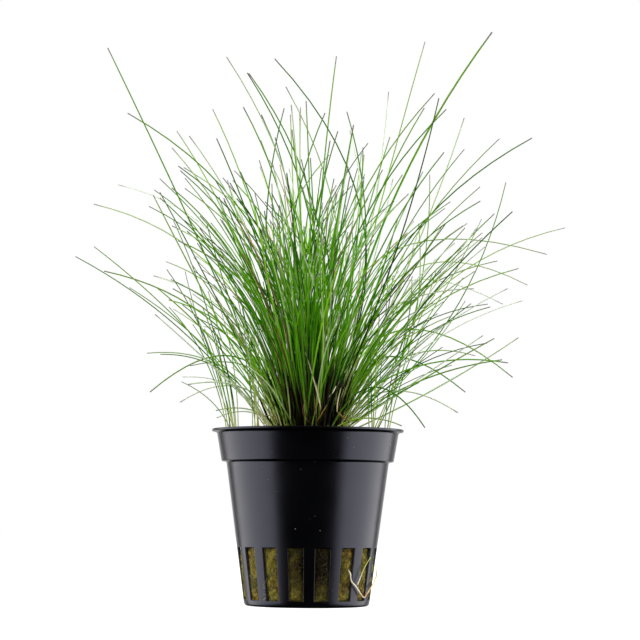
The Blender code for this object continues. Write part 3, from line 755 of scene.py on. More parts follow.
def living_culm():
    """Fresh hairgrass culm: waxy round thread, green, dried at the tip, pale or brown at the foot; the
    near-black feet are brown bases darkened further by painted shade.
    """
    made, tree, inputs = new_material("hairgrass_culm_fresh",
                                      {"Roughness": 0.5, "IOR": 1.42, "Specular IOR Level": 0.1})
    own = strand_values(tree)
    along, tint, foot_brown_and_shade = own["along"], own["tint"], own["foot_brown_and_shade"]
    green = ramp(tree, tint, {0.0: "#163E00", 0.3: "#327400", 0.6: "#5CA200", 0.85: "#86BC20", 1.0: "#C0D0AC"})
    olive = ramp(tree, tint, {0.0: "#264E00", 0.3: "#407A00", 0.6: "#68901E", 0.85: "#8CA262", 1.0: "#C4D0B8"})
    painted_shade_green = ramp(tree, tint, {0.0: "#081C00", 0.3: "#1A4400", 0.6: "#3C7A06", 0.85: "#7CB02C", 1.0: "#A4CC68"})
    # Brown with painted shade: the darkest feet, in the clump's middle, stand for dead bases lying in shade
    foot = ramp(tree, foot_brown_and_shade, {0.0: "#D4DC9A", 0.25: "#A8BC54", 0.42: "#4E8010", 0.6: "#2E2610", 1.0: "#140C05"})
    tip = ramp(tree, tint, {0.0: "#45453C", 1.0: "#8B8A82"})
    free = map_range(tree, foot_brown_and_shade, {"From Min": 0.25, "From Max": 0.6, "To Min": 1.0, "To Max": 0.0})
    # Higher up, those that stand free are weathered to a duller green, and so are all that stand out on top
    weathered = combined(tree, "MULTIPLY", smooth_step(tree, along, 0.4, 0.85), free)
    height = node(tree, "ShaderNodeSeparateXYZ", links={"Vector": object_place(tree)}).outputs["Z"]
    dulled = combined(tree, "MAXIMUM", weathered, smooth_step(tree, height, 105 * MM, 145 * MM))
    color = mixed(tree, dulled, green, olive)
    # Painted shade: low down, culms in the thick of the clump are darker than those that stand free of it
    lit = combined(tree, "MAXIMUM", smooth_step(tree, along, 0.2, 0.6), free)
    color = mixed(tree, lit, painted_shade_green, color)
    color = mixed(tree, smooth_step(tree, along, 0.06, 0.38), foot, color)
    color = mixed(tree, smooth_step(tree, along, 0.95, 0.995), color, tip)
    tree.links.new(color, inputs["Base Color"])
    return made


def dry_culm():
    """Dead culm: straw that has lost its green, orange-brown where it stayed wet."""
    made, tree, inputs = new_material("hairgrass_culm_dried", {"Roughness": 0.6})
    own = strand_values(tree)
    straw = ramp(tree, own["tint"], {0.0: "#54401C", 0.45: "#8F6828", 0.7: "#C6B274", 1.0: "#E4DCB8"})
    worn = ramp(tree, own["along"], {0.0: "#7A6A50", 0.5: "#FFFFFF", 1.0: "#9A8C78"})
    tree.links.new(mixed(tree, 0.6, straw, worn, "MULTIPLY"), inputs["Base Color"])
    return made


def strand_skin(name, values, follows, stops):
    """Skin of a strand in colours that follow one of its own values."""
    made, tree, inputs = new_material(name, values)
    tree.links.new(ramp(tree, strand_values(tree)[follows], stops), inputs["Base Color"])
    return made


def old_sheath():
    """Old leaf sheath: thin, papery and rotted, dark brown, with the near black standing for painted shade in
    the clump's dense foot.
    """
    return strand_skin("leaf_sheath_old", {"Roughness": 0.75, "Specular IOR Level": 0.3}, "tint",
                       {0.0: "#0C0805", 0.6: "#1E140C", 1.0: "#3E2C19"})


def wool_fibre():
    """Loose mineral fibre: glassy hair, pale olive where it catches the light."""
    return strand_skin("mineral_wool_fibre", {"Roughness": 0.55}, "tint",
                       {0.0: "#2E2810", 0.4: "#655A24", 0.75: "#958A48", 1.0: "#C9C08A"})


def dried_root():
    """Root dried in the air: papery, cream at its upper end, amber at the bend, then straw."""
    return strand_skin("root_dried", {"Roughness": 0.5}, "along",
                       {0.0: "#E6DDB4", 0.35: "#F1E9CF", 0.5: "#B98A3C", 0.7: "#E0CE97", 1.0: "#C9B98A"})


def dried_runner():
    """Runner dried in the air: still yellow-green at its upper end, bleached below."""
    return strand_skin("runner_dried", {"Roughness": 0.5}, "along",
                       {0.0: "#B9C23A", 0.4: "#C9CC7A", 0.7: "#E6E2C4", 1.0: "#E9DFB6"})


def dry_grit():
    """Lime and silt dried on the pot: chalky, off-white to straw."""
    made, tree, inputs = new_material("grit_dried", {"Roughness": 0.9})
    chalk = ramp(tree, grain(tree, object_place(tree), 6, 1.0)["Fac"], {0.4: "#9A8F4E", 0.6: "#D8D4C0"})
    tree.links.new(chalk, inputs["Base Color"])
    return made


def white_board():
    """Matt white card under and behind the plant."""
    made, tree, inputs = new_material("white_card_matt", {
        "Base Color": (0.25, 0.25, 0.25, 1), "Roughness": 0.9, "Specular IOR Level": 0.0,
        "Emission Color": (1, 1, 1, 1)})
    # White where it is seen, but little light thrown up at the plant
    seen = node(tree, "ShaderNodeLightPath").outputs["Is Camera Ray"]
    tree.links.new(map_range(tree, seen, {"To Min": 0.1, "To Max": 1.0}), inputs["Emission Strength"])
    return made


# Pieces

def placed(name, data):
    """A new object in the scene."""
    item = bpy.data.objects.new(name, data)
    bpy.context.scene.collection.objects.link(item)
    return item


def piece_of(shape, name, looks):
    """A smooth object from a finished bmesh."""
    mesh = bpy.data.meshes.new(name)
    shape.to_mesh(mesh)
    shape.free()
    for look in looks:
        mesh.materials.append(look)
    mesh.shade_smooth()
    return placed(name, mesh)


def vec(point):
    return np.array(tuple(point))


class Bunch:
    """Round strands gathered into one mesh, with the values that their materials read."""

    def __init__(self):
        self.points, self.faces, self.slots, self.values, self.total = [], [], [], [], 0

    def add(self, path, radii, sides=THREAD_SIDES, slot=0, tint=0.5, foot_brown_and_shade=0.0):
        """A strand along path, an array of points in millimetres."""
        steps = len(path)
        tangent = np.gradient(path, axis=0)
        tangent /= np.linalg.norm(tangent, axis=1)[:, None]
        level = np.cross(path[-1] - path[0], (0, 0, 1.0))
        if np.linalg.norm(level) < 1e-3:
            level = np.array((1.0, 0, 0))
        across = np.cross(tangent, level)
        across /= np.linalg.norm(across, axis=1)[:, None]
        other = np.cross(tangent, across)
        turns = np.arange(sides) * math.tau / sides
        spokes = np.cos(turns)[None, :, None] * across[:, None] + np.sin(turns)[None, :, None] * other[:, None]
        rings = path[:, None] + radii[:, None, None] * spokes
        first = self.total
        last = first + (steps - 1) * sides
        for low in range(first, last, sides):
            for side in range(sides):
                after = (side + 1) % sides
                self.faces.append((low + side, low + after, low + after + sides, low + side + sides))
        self.faces.append(tuple(range(first + sides - 1, first - 1, -1)))
        self.faces.append(tuple(range(last, last + sides)))
        self.points.append(rings.reshape(-1, 3))
        self.slots += [slot] * ((steps - 1) * sides + 2)
        values = np.empty((steps * sides, 3))
        values[:, 0] = np.repeat(np.linspace(0, 1, steps), sides)
        values[:, 1:] = tint, foot_brown_and_shade
        self.values.append(values)
        self.total += steps * sides

    def build(self, name, looks):
        mesh = bpy.data.meshes.new(name)
        mesh.from_pydata((np.vstack(self.points) * MM).tolist(), [], self.faces)
        mesh.polygons.foreach_set("material_index", self.slots)
        own = mesh.attributes.new("strand", "FLOAT_VECTOR", "POINT")
        own.data.foreach_set("vector", np.vstack(self.values).ravel())
        for look in looks:
            mesh.materials.append(look)
        mesh.shade_smooth()
        mesh.update()
        return placed(name, mesh)


# Grass

def curve_path(culm, steps, dice, waver):
    """Smooth path of a culm, with a slight waver that leaves both of its ends in place."""
    root, tip = vec(culm.root), vec(culm.tip)
    t = np.linspace(0, 1, steps)[:, None]
    path = arc_at(root, vec(bend_point(culm)), tip, t)
    chord = tip - root
    side = np.cross(chord, (0, 0, 1.0))
    side /= max(np.linalg.norm(side), 1e-6)
    turns, phase = dice.uniform(*WAVES), dice.uniform(0, math.tau)
    swing = np.sin(math.tau * turns * t + phase) * 4 * t * (1 - t)
    return path + side * swing * waver * dice.uniform(-1, 1) * np.linalg.norm(chord)


def kinked(path, dice):
    """The path with its upper part bent sharply to one side, as where a culm has been folded."""
    pieces = len(path) - 1
    place = dice.uniform(*KINK_PLACES) * pieces
    beyond = np.clip(np.arange(len(path)) - place, 0, None)[:, None]
    step = np.linalg.norm(path[-1] - path[0]) / pieces
    turn = np.array([dice.uniform(-1, 1), dice.uniform(-1, 1), dice.uniform(*KINK_RISES)])
    return path + turn * beyond * step * KINK_TURN


def held_forward(path):
    """The path with less depth, where it would reach further back than the solids do."""
    depth = path[:, 1].max() - path[0, 1]
    allowed = FARTHEST_BACK - path[0, 1]
    if depth > allowed:
        path[:, 1] = path[0, 1] + (path[:, 1] - path[0, 1]) * allowed / depth
    return path


def thread_radii(steps, width):
    """Radius along a culm: even for most of its length, then drawn out to the tip."""
    t = np.linspace(0, 1, steps)
    return (THREAD_RADIUS + (THREAD_TIP_RADIUS - THREAD_RADIUS) * t ** 3) * width


def uprightness(tuft):
    """1 for a tuft that stands straight up, down to 0 for one that leans the most."""
    return max(0, 1 - lean_of(tuft.tip, tuft.foot) / WIDEST_LEAN)


def fine_culm(tuft, heading, dice):
    """One of the many thin culms that share a tuft's sheath with its main ones, turned a little from them."""
    aside = Vector(round_at(dice.uniform(0, math.tau)))
    root = tuft.foot.lerp(sheath_top(tuft), FINE_ROOT_RISE)
    root = root + aside * tuft.sheath * dice.uniform(*FINE_ROOT_RING)
    chord = tuft.tip - root
    fan = FINE_FAN * (FAN_LYING_FLAT + (1 - FAN_LYING_FLAT) * uprightness(tuft))
    away = chord.normalized() + heading + aside * fan * dice.random() + any_way(dice) * fan * FAN_ANY_WAY
    usual = min(chord.length, reach_at(lean_of(tuft.tip, tuft.foot)))
    length = usual * (FINE_SHORTEST + FINE_LENGTH_RANGE * dice.random())
    arch = min(tuft.arch, FREE_ARCH_MOST) * dice.uniform(*FINE_ARCHES) + dice.uniform(*FINE_ARCH_ADDED)
    sway = dice.uniform(-FINE_SWAY, FINE_SWAY)
    return Culm(root, root + away.normalized() * length, arch, sway, dice.uniform(*FINE_WIDTHS))


def keeps_above(path):
    """Whether a path stays off the lip and above the wool."""
    reach, height = np.hypot(path[:, 0], path[:, 1]), path[:, 2]
    inside = reach < LIP_RADIUS + LIP_MARGIN
    over_lip = inside & (reach > COLLAR_TOP_RADIUS - COLLAR_MARGIN)
    return not (inside & (height < PLUG_TOP) | over_lip & (height < POT_HEIGHT + REST_GAP)).any()


def culm_tint(tuft, culm, dice):
    """Paler for culms that lie low or stand far back, as they are seen against the light."""
    if culm.width == STOUT_WIDTH:
        return STOUT_TINT
    if dice.random() < PALE_SHARE:
        return dice.uniform(*PALE_TINTS)
    paler = PALER_LYING_FLAT * (1 - uprightness(tuft)) + PALER_BEHIND * max(culm.tip.y - PALER_BEYOND, 0)
    return min(1, max(0, dice.gauss(*TINTS) + paler))


def foot_brown_and_shade_level(brown_and_shade, dice):
    """How dark a culm's foot is, from brown dead bases and painted shade: as its neighbours' are, but for
    those that stay green.
    """
    if dice.random() < GREEN_SHARE:
        return min(brown_and_shade, dice.uniform(*GREEN_FOOT_BROWN_AND_SHADE))
    return min(1, max(0, dice.gauss(brown_and_shade, BROWN_AND_SHADE_SCATTER)))


def build_tuft(tuft, culms, number, looks):
    """The whole bunch of one tuft: main and fine culms, dead culms, and the old sheaths at its foot."""
    throw = THROWS[number] if number < CLUMP_TUFTS else 0
    dice = random.Random(DICE_START + number + DICE_STEP * throw)
    bunch = Bunch()
    at_edge = tuft.sheath == EDGE_SHEATH_RADIUS
    sideways = abs(tuft.foot.x) / CLUMP_RADIUS
    # Feet darken towards the clump's middle: dead brown bases and painted shade
    brown_and_shade = BROWN_AND_SHADE_AT_EDGE if at_edge else max(BROWN_AND_SHADE_LEAST, BROWN_AND_SHADE - BROWN_AND_SHADE_LOST * sideways)
    slender = SLENDER if sideways > SLENDER_BEYOND else 1
    for culm in culms:
        path = curve_path(culm, MAIN_POINTS, dice, MAIN_WAVER)
        foot_brown_and_shade = foot_brown_and_shade_level(brown_and_shade, dice)
        radii = thread_radii(MAIN_POINTS, culm.width * slender)
        bunch.add(path, radii, THREAD_SIDES, LIVING, culm_tint(tuft, culm, dice), foot_brown_and_shade)
    heading = any_way(dice) * SWERVE
    fine = round(FINE_CULMS_LEAST + (FINE_CULMS_MOST - FINE_CULMS_LEAST) * uprightness(tuft))
    fine += dice.randint(-FINE_SPREAD, FINE_SPREAD)
    for _ in range(FINE_CULMS_AT_EDGE if at_edge else fine):
        culm = fine_culm(tuft, heading, dice)
        path = curve_path(culm, FINE_POINTS, dice, FINE_WAVER)
        if dice.random() < KINKED_SHARE:
            path = kinked(path, dice)
        path = held_forward(path)
        slot = DRIED if dice.random() < DRIED_SHARE else LIVING
        tint = dice.uniform(*DRIED_TINTS) if slot == DRIED else culm_tint(tuft, culm, dice)
        foot_brown_and_shade = foot_brown_and_shade_level(brown_and_shade, dice)
        if keeps_above(path):
            bunch.add(path, thread_radii(FINE_POINTS, culm.width * slender), THREAD_SIDES, slot, tint, foot_brown_and_shade)
    for _ in range(STUBS_IN_TUFT if sideways < STUBS_WITHIN and not at_edge else 0):
        root = tuft.foot + any_way(dice) * tuft.sheath
        away = Vector((tuft.foot.x * STUB_SLOPE, tuft.foot.y * STUB_SLOPE, 1)) + any_way(dice) * STUB_SCATTER
        length = dice.uniform(STUB_SHORTEST, STUB_LONGEST - STUB_LOSS * sideways)
        stub = Culm(root, root + away.normalized() * length, STUB_ARCH, 0, 1)
        path = curve_path(stub, len(STUB_RADII), dice, STUB_WAVER)
        radii = STUB_RADII * dice.uniform(*STUB_WIDTHS)
        if keeps_above(path):
            bunch.add(path, radii, STUB_SIDES, SHEATH, dice.random(), 1)
    piece = bunch.build(tuft.name + "_bunch", looks)
    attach(piece, BODY)
    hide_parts(tuft.name)


def build_dead_strands(look):
    """Straw, orange-brown leaf ends and curled fibres that lie in front of the clump's dark foot."""
    bunch = Bunch()
    t = np.linspace(0, 1, DEAD_POINTS)[:, None]
    taper = 1 - DEAD_TAPER * np.abs(np.linspace(-1, 1, DEAD_POINTS)) ** 3
    for start, bend, end, radius, tint in DEAD_STRANDS:
        path = arc_at(np.array(start), np.array(bend), np.array(end), t)
        bunch.add(path, radius * taper, tint=tint)
    piece = bunch.build("dead_strands", (look,))
    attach(piece, BODY)


# Pot

def rounded(corners, steps=4):
    """Outline through corners given as radius, height and fillet, with arcs in place of the corners."""
    outline = [corners[0][:2]]
    for before, corner, after in zip(corners[:-2], corners[1:-1], corners[2:]):
        if corner[2] == 0:
            outline.append(corner[:2])
            continue
        here = Vector(corner[:2])
        back = (Vector(before[:2]) - here).normalized() * corner[2]
        ahead = (Vector(after[:2]) - here).normalized() * corner[2]
        outline += [tuple(arc_at(here + back, here, here + ahead, step / steps)) for step in range(steps + 1)]
    outline.append(corners[-1][:2])
    return outline


def pot_outline():
    """Section of the pot, from the middle of its floor up the inside, over the lip and down the outside."""
    return rounded((
        (0, FLOOR, 0),
        (DRAIN_INNER, FLOOR, 0),
        (DRAIN_OUTER, FLOOR, 0),
        (wall_radius(FLOOR) - WALL, FLOOR, 0.15),
        (wall_radius(SLOT_BOTTOM) - WALL, SLOT_BOTTOM, 0),
        (wall_radius(SLOT_TOP) - WALL, SLOT_TOP, 0),
        (BODY_TOP_RADIUS - WALL, COLLAR_BOTTOM - 0.6, 0.25),
        (COLLAR_BOTTOM_RADIUS - WALL, COLLAR_BOTTOM - 0.1, 0.25),
        (COLLAR_TOP_RADIUS - WALL, POT_HEIGHT - 1.6, 0.6),
        (COLLAR_TOP_RADIUS + 0.1, POT_HEIGHT, 0.5),
        (LIP_RADIUS, POT_HEIGHT, 0.3),
        (LIP_RADIUS, POT_HEIGHT - 0.7, 0.3),
        (COLLAR_TOP_RADIUS + 0.15, POT_HEIGHT - 1.0, 0.5),
        (COLLAR_BOTTOM_RADIUS, COLLAR_BOTTOM, 0.22),
        (BODY_TOP_RADIUS, COLLAR_BOTTOM - 0.3, 0.3),
        (wall_radius(SLOT_TOP), SLOT_TOP, 0),
        (wall_radius(SLOT_BOTTOM), SLOT_BOTTOM, 0),
        (BODY_FOOT_RADIUS, FOOT_CORNER - 0.1, 0),
        (BODY_FOOT_RADIUS - 0.35, 0, 0.7),
        (DRAIN_OUTER, 0, 0),
        (DRAIN_INNER, 0, 0),
        (0, 0, 0),
    ))


def meridians():
    """Angles round the pot in radians, with the sides of every slot among them, and which spans are slots."""
    angles, open_spans = [], []
    rib = SLOT_PITCH - 2 * SLOT_HALF_ANGLE
    for slot in range(SLOT_COUNT):
        middle = FIRST_SLOT - 90 + slot * SLOT_PITCH
        for span in range(SPANS_PER_SLOT):
            angles.append(middle - SLOT_HALF_ANGLE + 2 * SLOT_HALF_ANGLE * span / SPANS_PER_SLOT)
            open_spans.append(slot)
        for span in range(SPANS_PER_RIB):
            angles.append(middle + SLOT_HALF_ANGLE + rib * span / SPANS_PER_RIB)
            open_spans.append(None)
    return [math.radians(angle) for angle in angles], open_spans


def build_pot():
    """The moulding: wall, lip and floor as one skin, pierced by wall slots and drain slots."""
    outline = pot_outline()
    rows = [(round(radius, 4), round(height, 4)) for radius, height in outline]

    def row_of(radius, height):
        return rows.index((round(radius, 4), round(height, 4)))

    # A window is open between its rows on the inside, first to first + 1, and on the outside, last - 1 to last
    outside = wall_radius(SLOT_BOTTOM)
    wall = (row_of(outside - WALL, SLOT_BOTTOM), row_of(outside, SLOT_BOTTOM))
    drain = (row_of(DRAIN_INNER, FLOOR), row_of(DRAIN_INNER, 0))
    angles, open_spans = meridians()
    windows = {}
    for span, slot in enumerate(open_spans):
        if slot is not None:
            windows[span] = [wall] + ([drain] if slot % 2 == 0 else [])
    shape = bmesh.new()
    grid = []
    poles = {}
    for angle in angles:
        line = []
        for row, (radius, height) in enumerate(outline):
            x, y = radius * math.cos(angle) * MM, radius * math.sin(angle) * MM
            if radius > 0:
                line.append(shape.verts.new((x, y, height * MM)))
            else:
                if row not in poles:
                    poles[row] = shape.verts.new((0, 0, height * MM))
                line.append(poles[row])
        grid.append(line)
    count = len(angles)
    for span in range(count):
        here, there = grid[span], grid[(span + 1) % count]
        holes = windows.get(span, [])
        skipped = {first for first, last in holes} | {last - 1 for first, last in holes}
        for row in range(len(outline) - 1):
            if row not in skipped:
                corners = (here[row], there[row], there[row + 1], here[row + 1])
                shape.faces.new(list(dict.fromkeys(corners)))
        for first, last in holes:
            for inner, outer in ((first, last), (first + 1, last - 1)):
                shape.faces.new((here[inner], there[inner], there[outer], here[outer]))
            for neighbour, line in ((span - 1, here), (span + 1, there)):
                if (first, last) not in windows.get(neighbour % count, []):
                    side = shape.faces.new((line[first], line[first + 1], line[last - 1], line[last]))
                    # Painted light: each slot's side walls get the greyer, lit-looking plastic
                    side.material_index = 1
    bmesh.ops.recalc_face_normals(shape, faces=shape.faces)
    pot = piece_of(shape, "pot_moulding", (black_polypropylene(), slot_walls_painted_light()))
    pot.data.set_sharp_from_angle(angle=math.radians(CREASE_ANGLE))
    # Slot edges are rounded, so that each catches a thin line of light
    bevel = pot.modifiers.new("slot_edges", "BEVEL")
    bevel.width = SLOT_EDGE_RADIUS * MM
    bevel.segments = 3
    bevel.limit_method = "ANGLE"
    bevel.angle_limit = math.radians(SLOT_EDGE_ANGLE)
    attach(pot, BODY)
    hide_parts("net_pot")


def outside_radius(height):
    """Outer radius of the pot at a height, collar included."""
    if height < COLLAR_BOTTOM:
        return wall_radius(height)
    rise = (height - COLLAR_BOTTOM) / (COLLAR_TOP - COLLAR_BOTTOM)
    return COLLAR_BOTTOM_RADIUS + (COLLAR_TOP_RADIUS - COLLAR_BOTTOM_RADIUS) * rise


def build_grit():
    """Grains of dry grit stuck to the pot, each a small lump of its own shape."""
    dice = random.Random(GRIT_SEED)
    shape = bmesh.new()
    for degrees, height, size, out in [(*grain_row, GRIT_OUT) for grain_row in GRIT] + list(ODD_GRIT):
        place = Vector(round_at(math.radians(degrees - 90), outside_radius(height) + out, height)) * MM
        stretch = Vector((dice.uniform(*GRIT_SQUASH), dice.uniform(*GRIT_SQUASH), dice.uniform(*GRIT_SQUASH)))
        for vert in bmesh.ops.create_icosphere(shape, subdivisions=2, radius=size * MM)["verts"]:
            lump = 1 + GRIT_LUMPS * noise.noise(vert.co / (size * MM) + Vector((degrees, 0, 0)))
            vert.co = vert.co * stretch * lump + place
    grit = piece_of(shape, "grit_grains", (dry_grit(),))
    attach(grit, BODY)


# Wool

def plug_radius(height):
    """Radius of the wool, which swells towards the wall low down and into the collar above."""
    if height > COLLAR_BOTTOM - THROAT_STEP:
        heights = (COLLAR_BOTTOM - THROAT_STEP, COLLAR_BOTTOM + THROAT_STEP, PLUG_TOP)
        throat, collar = BODY_TOP_RADIUS - WALL - PLUG_GAP, COLLAR_BOTTOM_RADIUS - WALL - PLUG_GAP
        return float(np.interp(height, heights, (throat, collar, PLUG_TOP_RADIUS)))
    swell = SWELL * min(1, max(0, SWELL_REACH - height / SLOT_TOP))
    return wall_radius(height) - WALL - PLUG_GAP + swell


def ruffle(x, y, z):
    """How far the wool's skin stands out or in at a place, in millimetres."""
    return sum(high * noise.noise(Vector((x, y, z)) / size) for size, high in RUFFLES) - RUFFLES_SUNK


def slot_bulge(angle, height):
    """How far the wool swells out into the slots, like a cushion in each, in millimetres."""
    aside = (math.degrees(angle) + 90 - FIRST_SLOT + SLOT_PITCH / 2) % SLOT_PITCH - SLOT_PITCH / 2
    across = max(0, 1 - (aside / BULGE_HALF_ANGLE) ** 2)
    ends = min(height - SLOT_BOTTOM, (SLOT_TOP - height) / 2)
    return SLOT_BULGE * math.sqrt(across) * min(1, max(0, ends))


def build_wool_skin():
    """The plug's ruffled skin, which bulges in the slots."""
    foot = FLOOR + REST_GAP
    heights = [foot + (PLUG_TOP - foot) * (row / SKIN_UP) ** 1.5 for row in range(SKIN_UP + 1)]
    sections = [(plug_radius(height), height) for height in heights]
    sections += [(sections[-1][0] * (1 - step / SKIN_INWARD), PLUG_TOP) for step in range(1, SKIN_INWARD)]
    shape = bmesh.new()
    rings = []
    for radius, height in sections:
        ring = []
        for place in range(SKIN_AROUND):
            angle = place * math.tau / SKIN_AROUND
            x, y = radius * math.cos(angle), radius * math.sin(angle)
            out = min(ruffle(x, y, height), RUFFLE_MOST)
            if height < PLUG_TOP:
                grown = (radius + out + slot_bulge(angle, height)) / radius
                point = (x * grown, y * grown, height)
            else:
                point = (x, y, height + out - TOP_SUNK)
            ring.append(shape.verts.new(Vector(point) * MM))
        rings.append(ring)
    for lower, upper in zip(rings[:-1], rings[1:]):
        for place in range(SKIN_AROUND):
            after = (place + 1) % SKIN_AROUND
            shape.faces.new((lower[place], lower[after], upper[after], upper[place]))
    shape.faces.new(rings[-1])
    shape.faces.new(list(reversed(rings[0])))
    skin = piece_of(shape, "wool_skin", (mineral_wool(),))
    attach(skin, BODY)
    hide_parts("wool_plug")


def add_fibre(bunch, middle, along, out, length, dice, bow):
    """One fibre that lies on the wool and bows away from it."""
    t = np.linspace(-1, 1, FIBRE_POINTS)[:, None]
    side = vec(along.cross(out))
    lift = dice.uniform(FIBRE_BOW_LEAST, bow) * length / 2
    path = vec(middle) + vec(along) * t * length / 2 + vec(out) * (1 - t ** 2) * lift * FIBRE_LIFT
    path = path + side * t ** 2 * dice.uniform(-FIBRE_CURL, FIBRE_CURL) * length
    radii = np.full(FIBRE_POINTS, dice.uniform(*FIBRE_RADII))
    # Painted shade: fibres near the shaded patch low at the front are darker
    painted_shade_factor = max(0, 1 - (middle - SHADE_PATCH).length / SHADE_PATCH_REACH)
    bunch.add(path, radii, FIBRE_SIDES, tint=dice.random() ** FIBRE_DARKNESS * (1 - painted_shade_factor))


def add_whiskers(bunch):
    """Whiskers of wool that stick out past the left edge of a front slot."""
    angle = math.radians(WHISKER_ANGLE - 90)
    out = np.array(round_at(angle))
    left = np.array((math.sin(angle), -math.cos(angle), 0))
    up = np.array((0, 0, 1))
    t = np.linspace(0, 1, FIBRE_POINTS)[:, None]
    for height, length, degrees in WHISKERS:
        slope = math.radians(degrees)
        along = left * math.cos(slope) + up * math.sin(slope)
        path = out * (wall_radius(height) - REST_GAP) + up * height + along * t * length
        path += out * np.sqrt(t) * WHISKER_RISE
        bunch.add(path, np.full(FIBRE_POINTS, WHISKER_RADIUS), WHISKER_SIDES, tint=WHISKER_TINT)


def build_wool_fibres():
    """Loose fibres where the wool can be seen, in the slots and on top, and a few whiskers."""
    dice = random.Random(FIBRE_SEED)
    fibres = Bunch()
    for slot in range(SLOT_COUNT):
        middle = math.radians(FIRST_SLOT - 90 + slot * SLOT_PITCH)
        for _ in range(SLOT_FIBRES):
            angle = middle + math.radians(dice.uniform(-SLOT_FIBRE_HALF_ANGLE, SLOT_FIBRE_HALF_ANGLE))
            height = dice.uniform(*SLOT_FIBRE_HEIGHTS)
            radius = plug_radius(height) + slot_bulge(angle, height) + dice.uniform(*SLOT_FIBRE_OUT)
            out = Vector(round_at(angle))
            along = Vector((-math.sin(angle), math.cos(angle), 0)) * dice.uniform(-1, 1)
            along.z = dice.uniform(-SLOT_FIBRE_RISE, SLOT_FIBRE_RISE)
            along.normalize()
            length = dice.uniform(*SLOT_FIBRE_LENGTHS)
            place = out * radius + Vector((0, 0, height))
            add_fibre(fibres, place, along, out, length, dice, SLOT_FIBRE_BOW)
    for _ in range(TOP_FIBRES):
        reach = math.sqrt(dice.random()) * (plug_radius(PLUG_TOP) - TOP_FIBRE_MARGIN)
        angle = dice.uniform(0, math.tau)
        place = Vector(round_at(angle, reach, PLUG_TOP + dice.uniform(*TOP_FIBRE_HEIGHTS)))
        along = Vector(round_at(dice.uniform(0, math.tau), 1, dice.uniform(*TOP_FIBRE_RISES))).normalized()
        length = dice.uniform(*TOP_FIBRE_LENGTHS)
        add_fibre(fibres, place, along, Vector((0, 0, 1)), length, dice, TOP_FIBRE_BOW)
    add_whiskers(fibres)
    piece = fibres.build("wool_fibres", (wool_fibre(),))
    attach(piece, BODY)


# Loose root and runner

def smooth_path(stops, steps):
    """Smooth path through stops given as angle from the front, height and distance off the wall."""
    points = [np.array(round_at(math.radians(degrees - 90), wall_radius(height) + off, height))
              for degrees, height, off in stops]
    points = [2 * points[0] - points[1]] + points + [2 * points[-1] - points[-2]]
    path = []
    for before, start, end, after in zip(points[:-3], points[1:-2], points[2:-1], points[3:]):
        bow = 2 * before - 5 * start + 4 * end - after
        twist = 3 * start - before - 3 * end + after
        for t in (step / steps for step in range(steps)):
            path.append(0.5 * (2 * start + (end - before) * t + bow * t ** 2 + twist * t ** 3))
    path.append(points[-2])
    return np.array(path)


def build_strand(name, solid, stops, radii, look, seed):
    """A dried strand outside the wall, uneven in thickness and slightly crooked."""
    dice = random.Random(seed)
    path = smooth_path(stops, STOP_STEPS)
    path[1:-1] += np.array([[dice.uniform(-CROOKED, CROOKED) for _ in range(3)] for _ in path[1:-1]])
    thick = np.interp(np.linspace(0, 1, len(path)), np.linspace(0, 1, len(radii)), radii)
    thick = thick * np.array([dice.uniform(*UNEVEN) for _ in path])
    bunch = Bunch()
    bunch.add(path, thick, STRAND_SIDES)
    piece = bunch.build(name, (look,))
    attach(piece, BODY)
    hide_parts(solid)


# Floor, light and camera

def build_stage():
    bpy.ops.mesh.primitive_circle_add(vertices=96, radius=CARD_RADIUS, fill_type="NGON")
    floor = bpy.context.object
    floor.name = "floor_card"
    floor.data.materials.append(white_board())
    # The card is left out of mirror-like glints, so that the black wall keeps its dark middle
    floor.visible_glossy = False


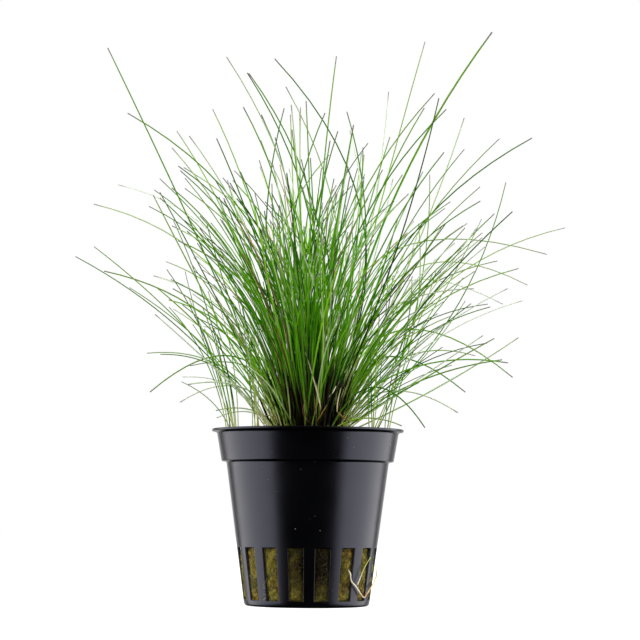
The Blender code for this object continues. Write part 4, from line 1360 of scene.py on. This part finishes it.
def build_lights():
    """Large soft boxes at both sides, a weak front, and white far behind, as the black wall mirrors them."""
    for name, place, aim, size, watts, mirrored in SOFT_BOXES:
        data = bpy.data.lights.new(name, "AREA")
        data.shape = "RECTANGLE"
        data.size, data.size_y = size
        data.energy = watts
        lamp = placed(name, data)
        lamp.location = place
        lamp.rotation_euler = (Vector(aim) - Vector(place)).to_track_quat("-Z", "Y").to_euler()
        lamp.visible_glossy = mirrored
    world = bpy.data.worlds.new("studio")
    world.use_nodes = True
    bpy.context.scene.world = world
    tree = world.node_tree
    back = tree.nodes["Background"].inputs
    # Mirrored: white only straight behind. Seen: plain white. For all other light: a dim, even room.
    place = node(tree, "ShaderNodeTexCoord").outputs["Generated"]
    depth = node(tree, "ShaderNodeSeparateXYZ", links={"Vector": place}).outputs["Y"]
    path = node(tree, "ShaderNodeLightPath").outputs
    even = node(tree, "ShaderNodeMix", {"data_type": "FLOAT", "A": 0.6},
                {"Factor": path["Is Glossy Ray"], "B": smooth_step(tree, depth, 0.84, 0.94)})
    strength = node(tree, "ShaderNodeMix", {"data_type": "FLOAT", "B": 1.0},
                    {"Factor": path["Is Camera Ray"], "A": even.outputs["Result"]})
    tree.links.new(strength.outputs["Result"], back["Strength"])
    back["Color"].default_value = (1, 1, 1, 1)


def build_camera():
    """The photograph's view: a long lens a little over half a metre away, near the wool's height."""
    data = bpy.data.cameras.new("camera")
    data.sensor_width = 36
    data.lens = FOCAL_LENGTH
    data.clip_end = 10
    camera = placed("camera", data)
    camera.location = [value * MM for value in CAMERA_PLACE]
    tilt = Matrix.Rotation(math.radians(90 + TILT), 3, "X")
    roll = Matrix.Rotation(math.radians(ROLL), 3, "Z")
    camera.rotation_euler = (tilt @ roll).to_euler()
    bpy.context.scene.camera = camera


GRASS_LOOKS = (living_culm(), dry_culm(), old_sheath())
build_pot()
build_grit()
build_wool_skin()
build_wool_fibres()
build_dead_strands(GRASS_LOOKS[DRIED])
for number, (tuft, culms) in enumerate(grow_grass()):
    build_tuft(tuft, culms, number, GRASS_LOOKS)
build_strand("root_fork", "loose_root", ROOT_STOPS, ROOT_RADII, dried_root(), ROOT_SEED)
build_strand("runner_strand", "loose_runner", RUNNER_STOPS, RUNNER_RADII, dried_runner(),
             RUNNER_SEED)
build_stage()
build_lights()
build_camera()
bpy.context.scene.view_settings.view_transform = "Standard"
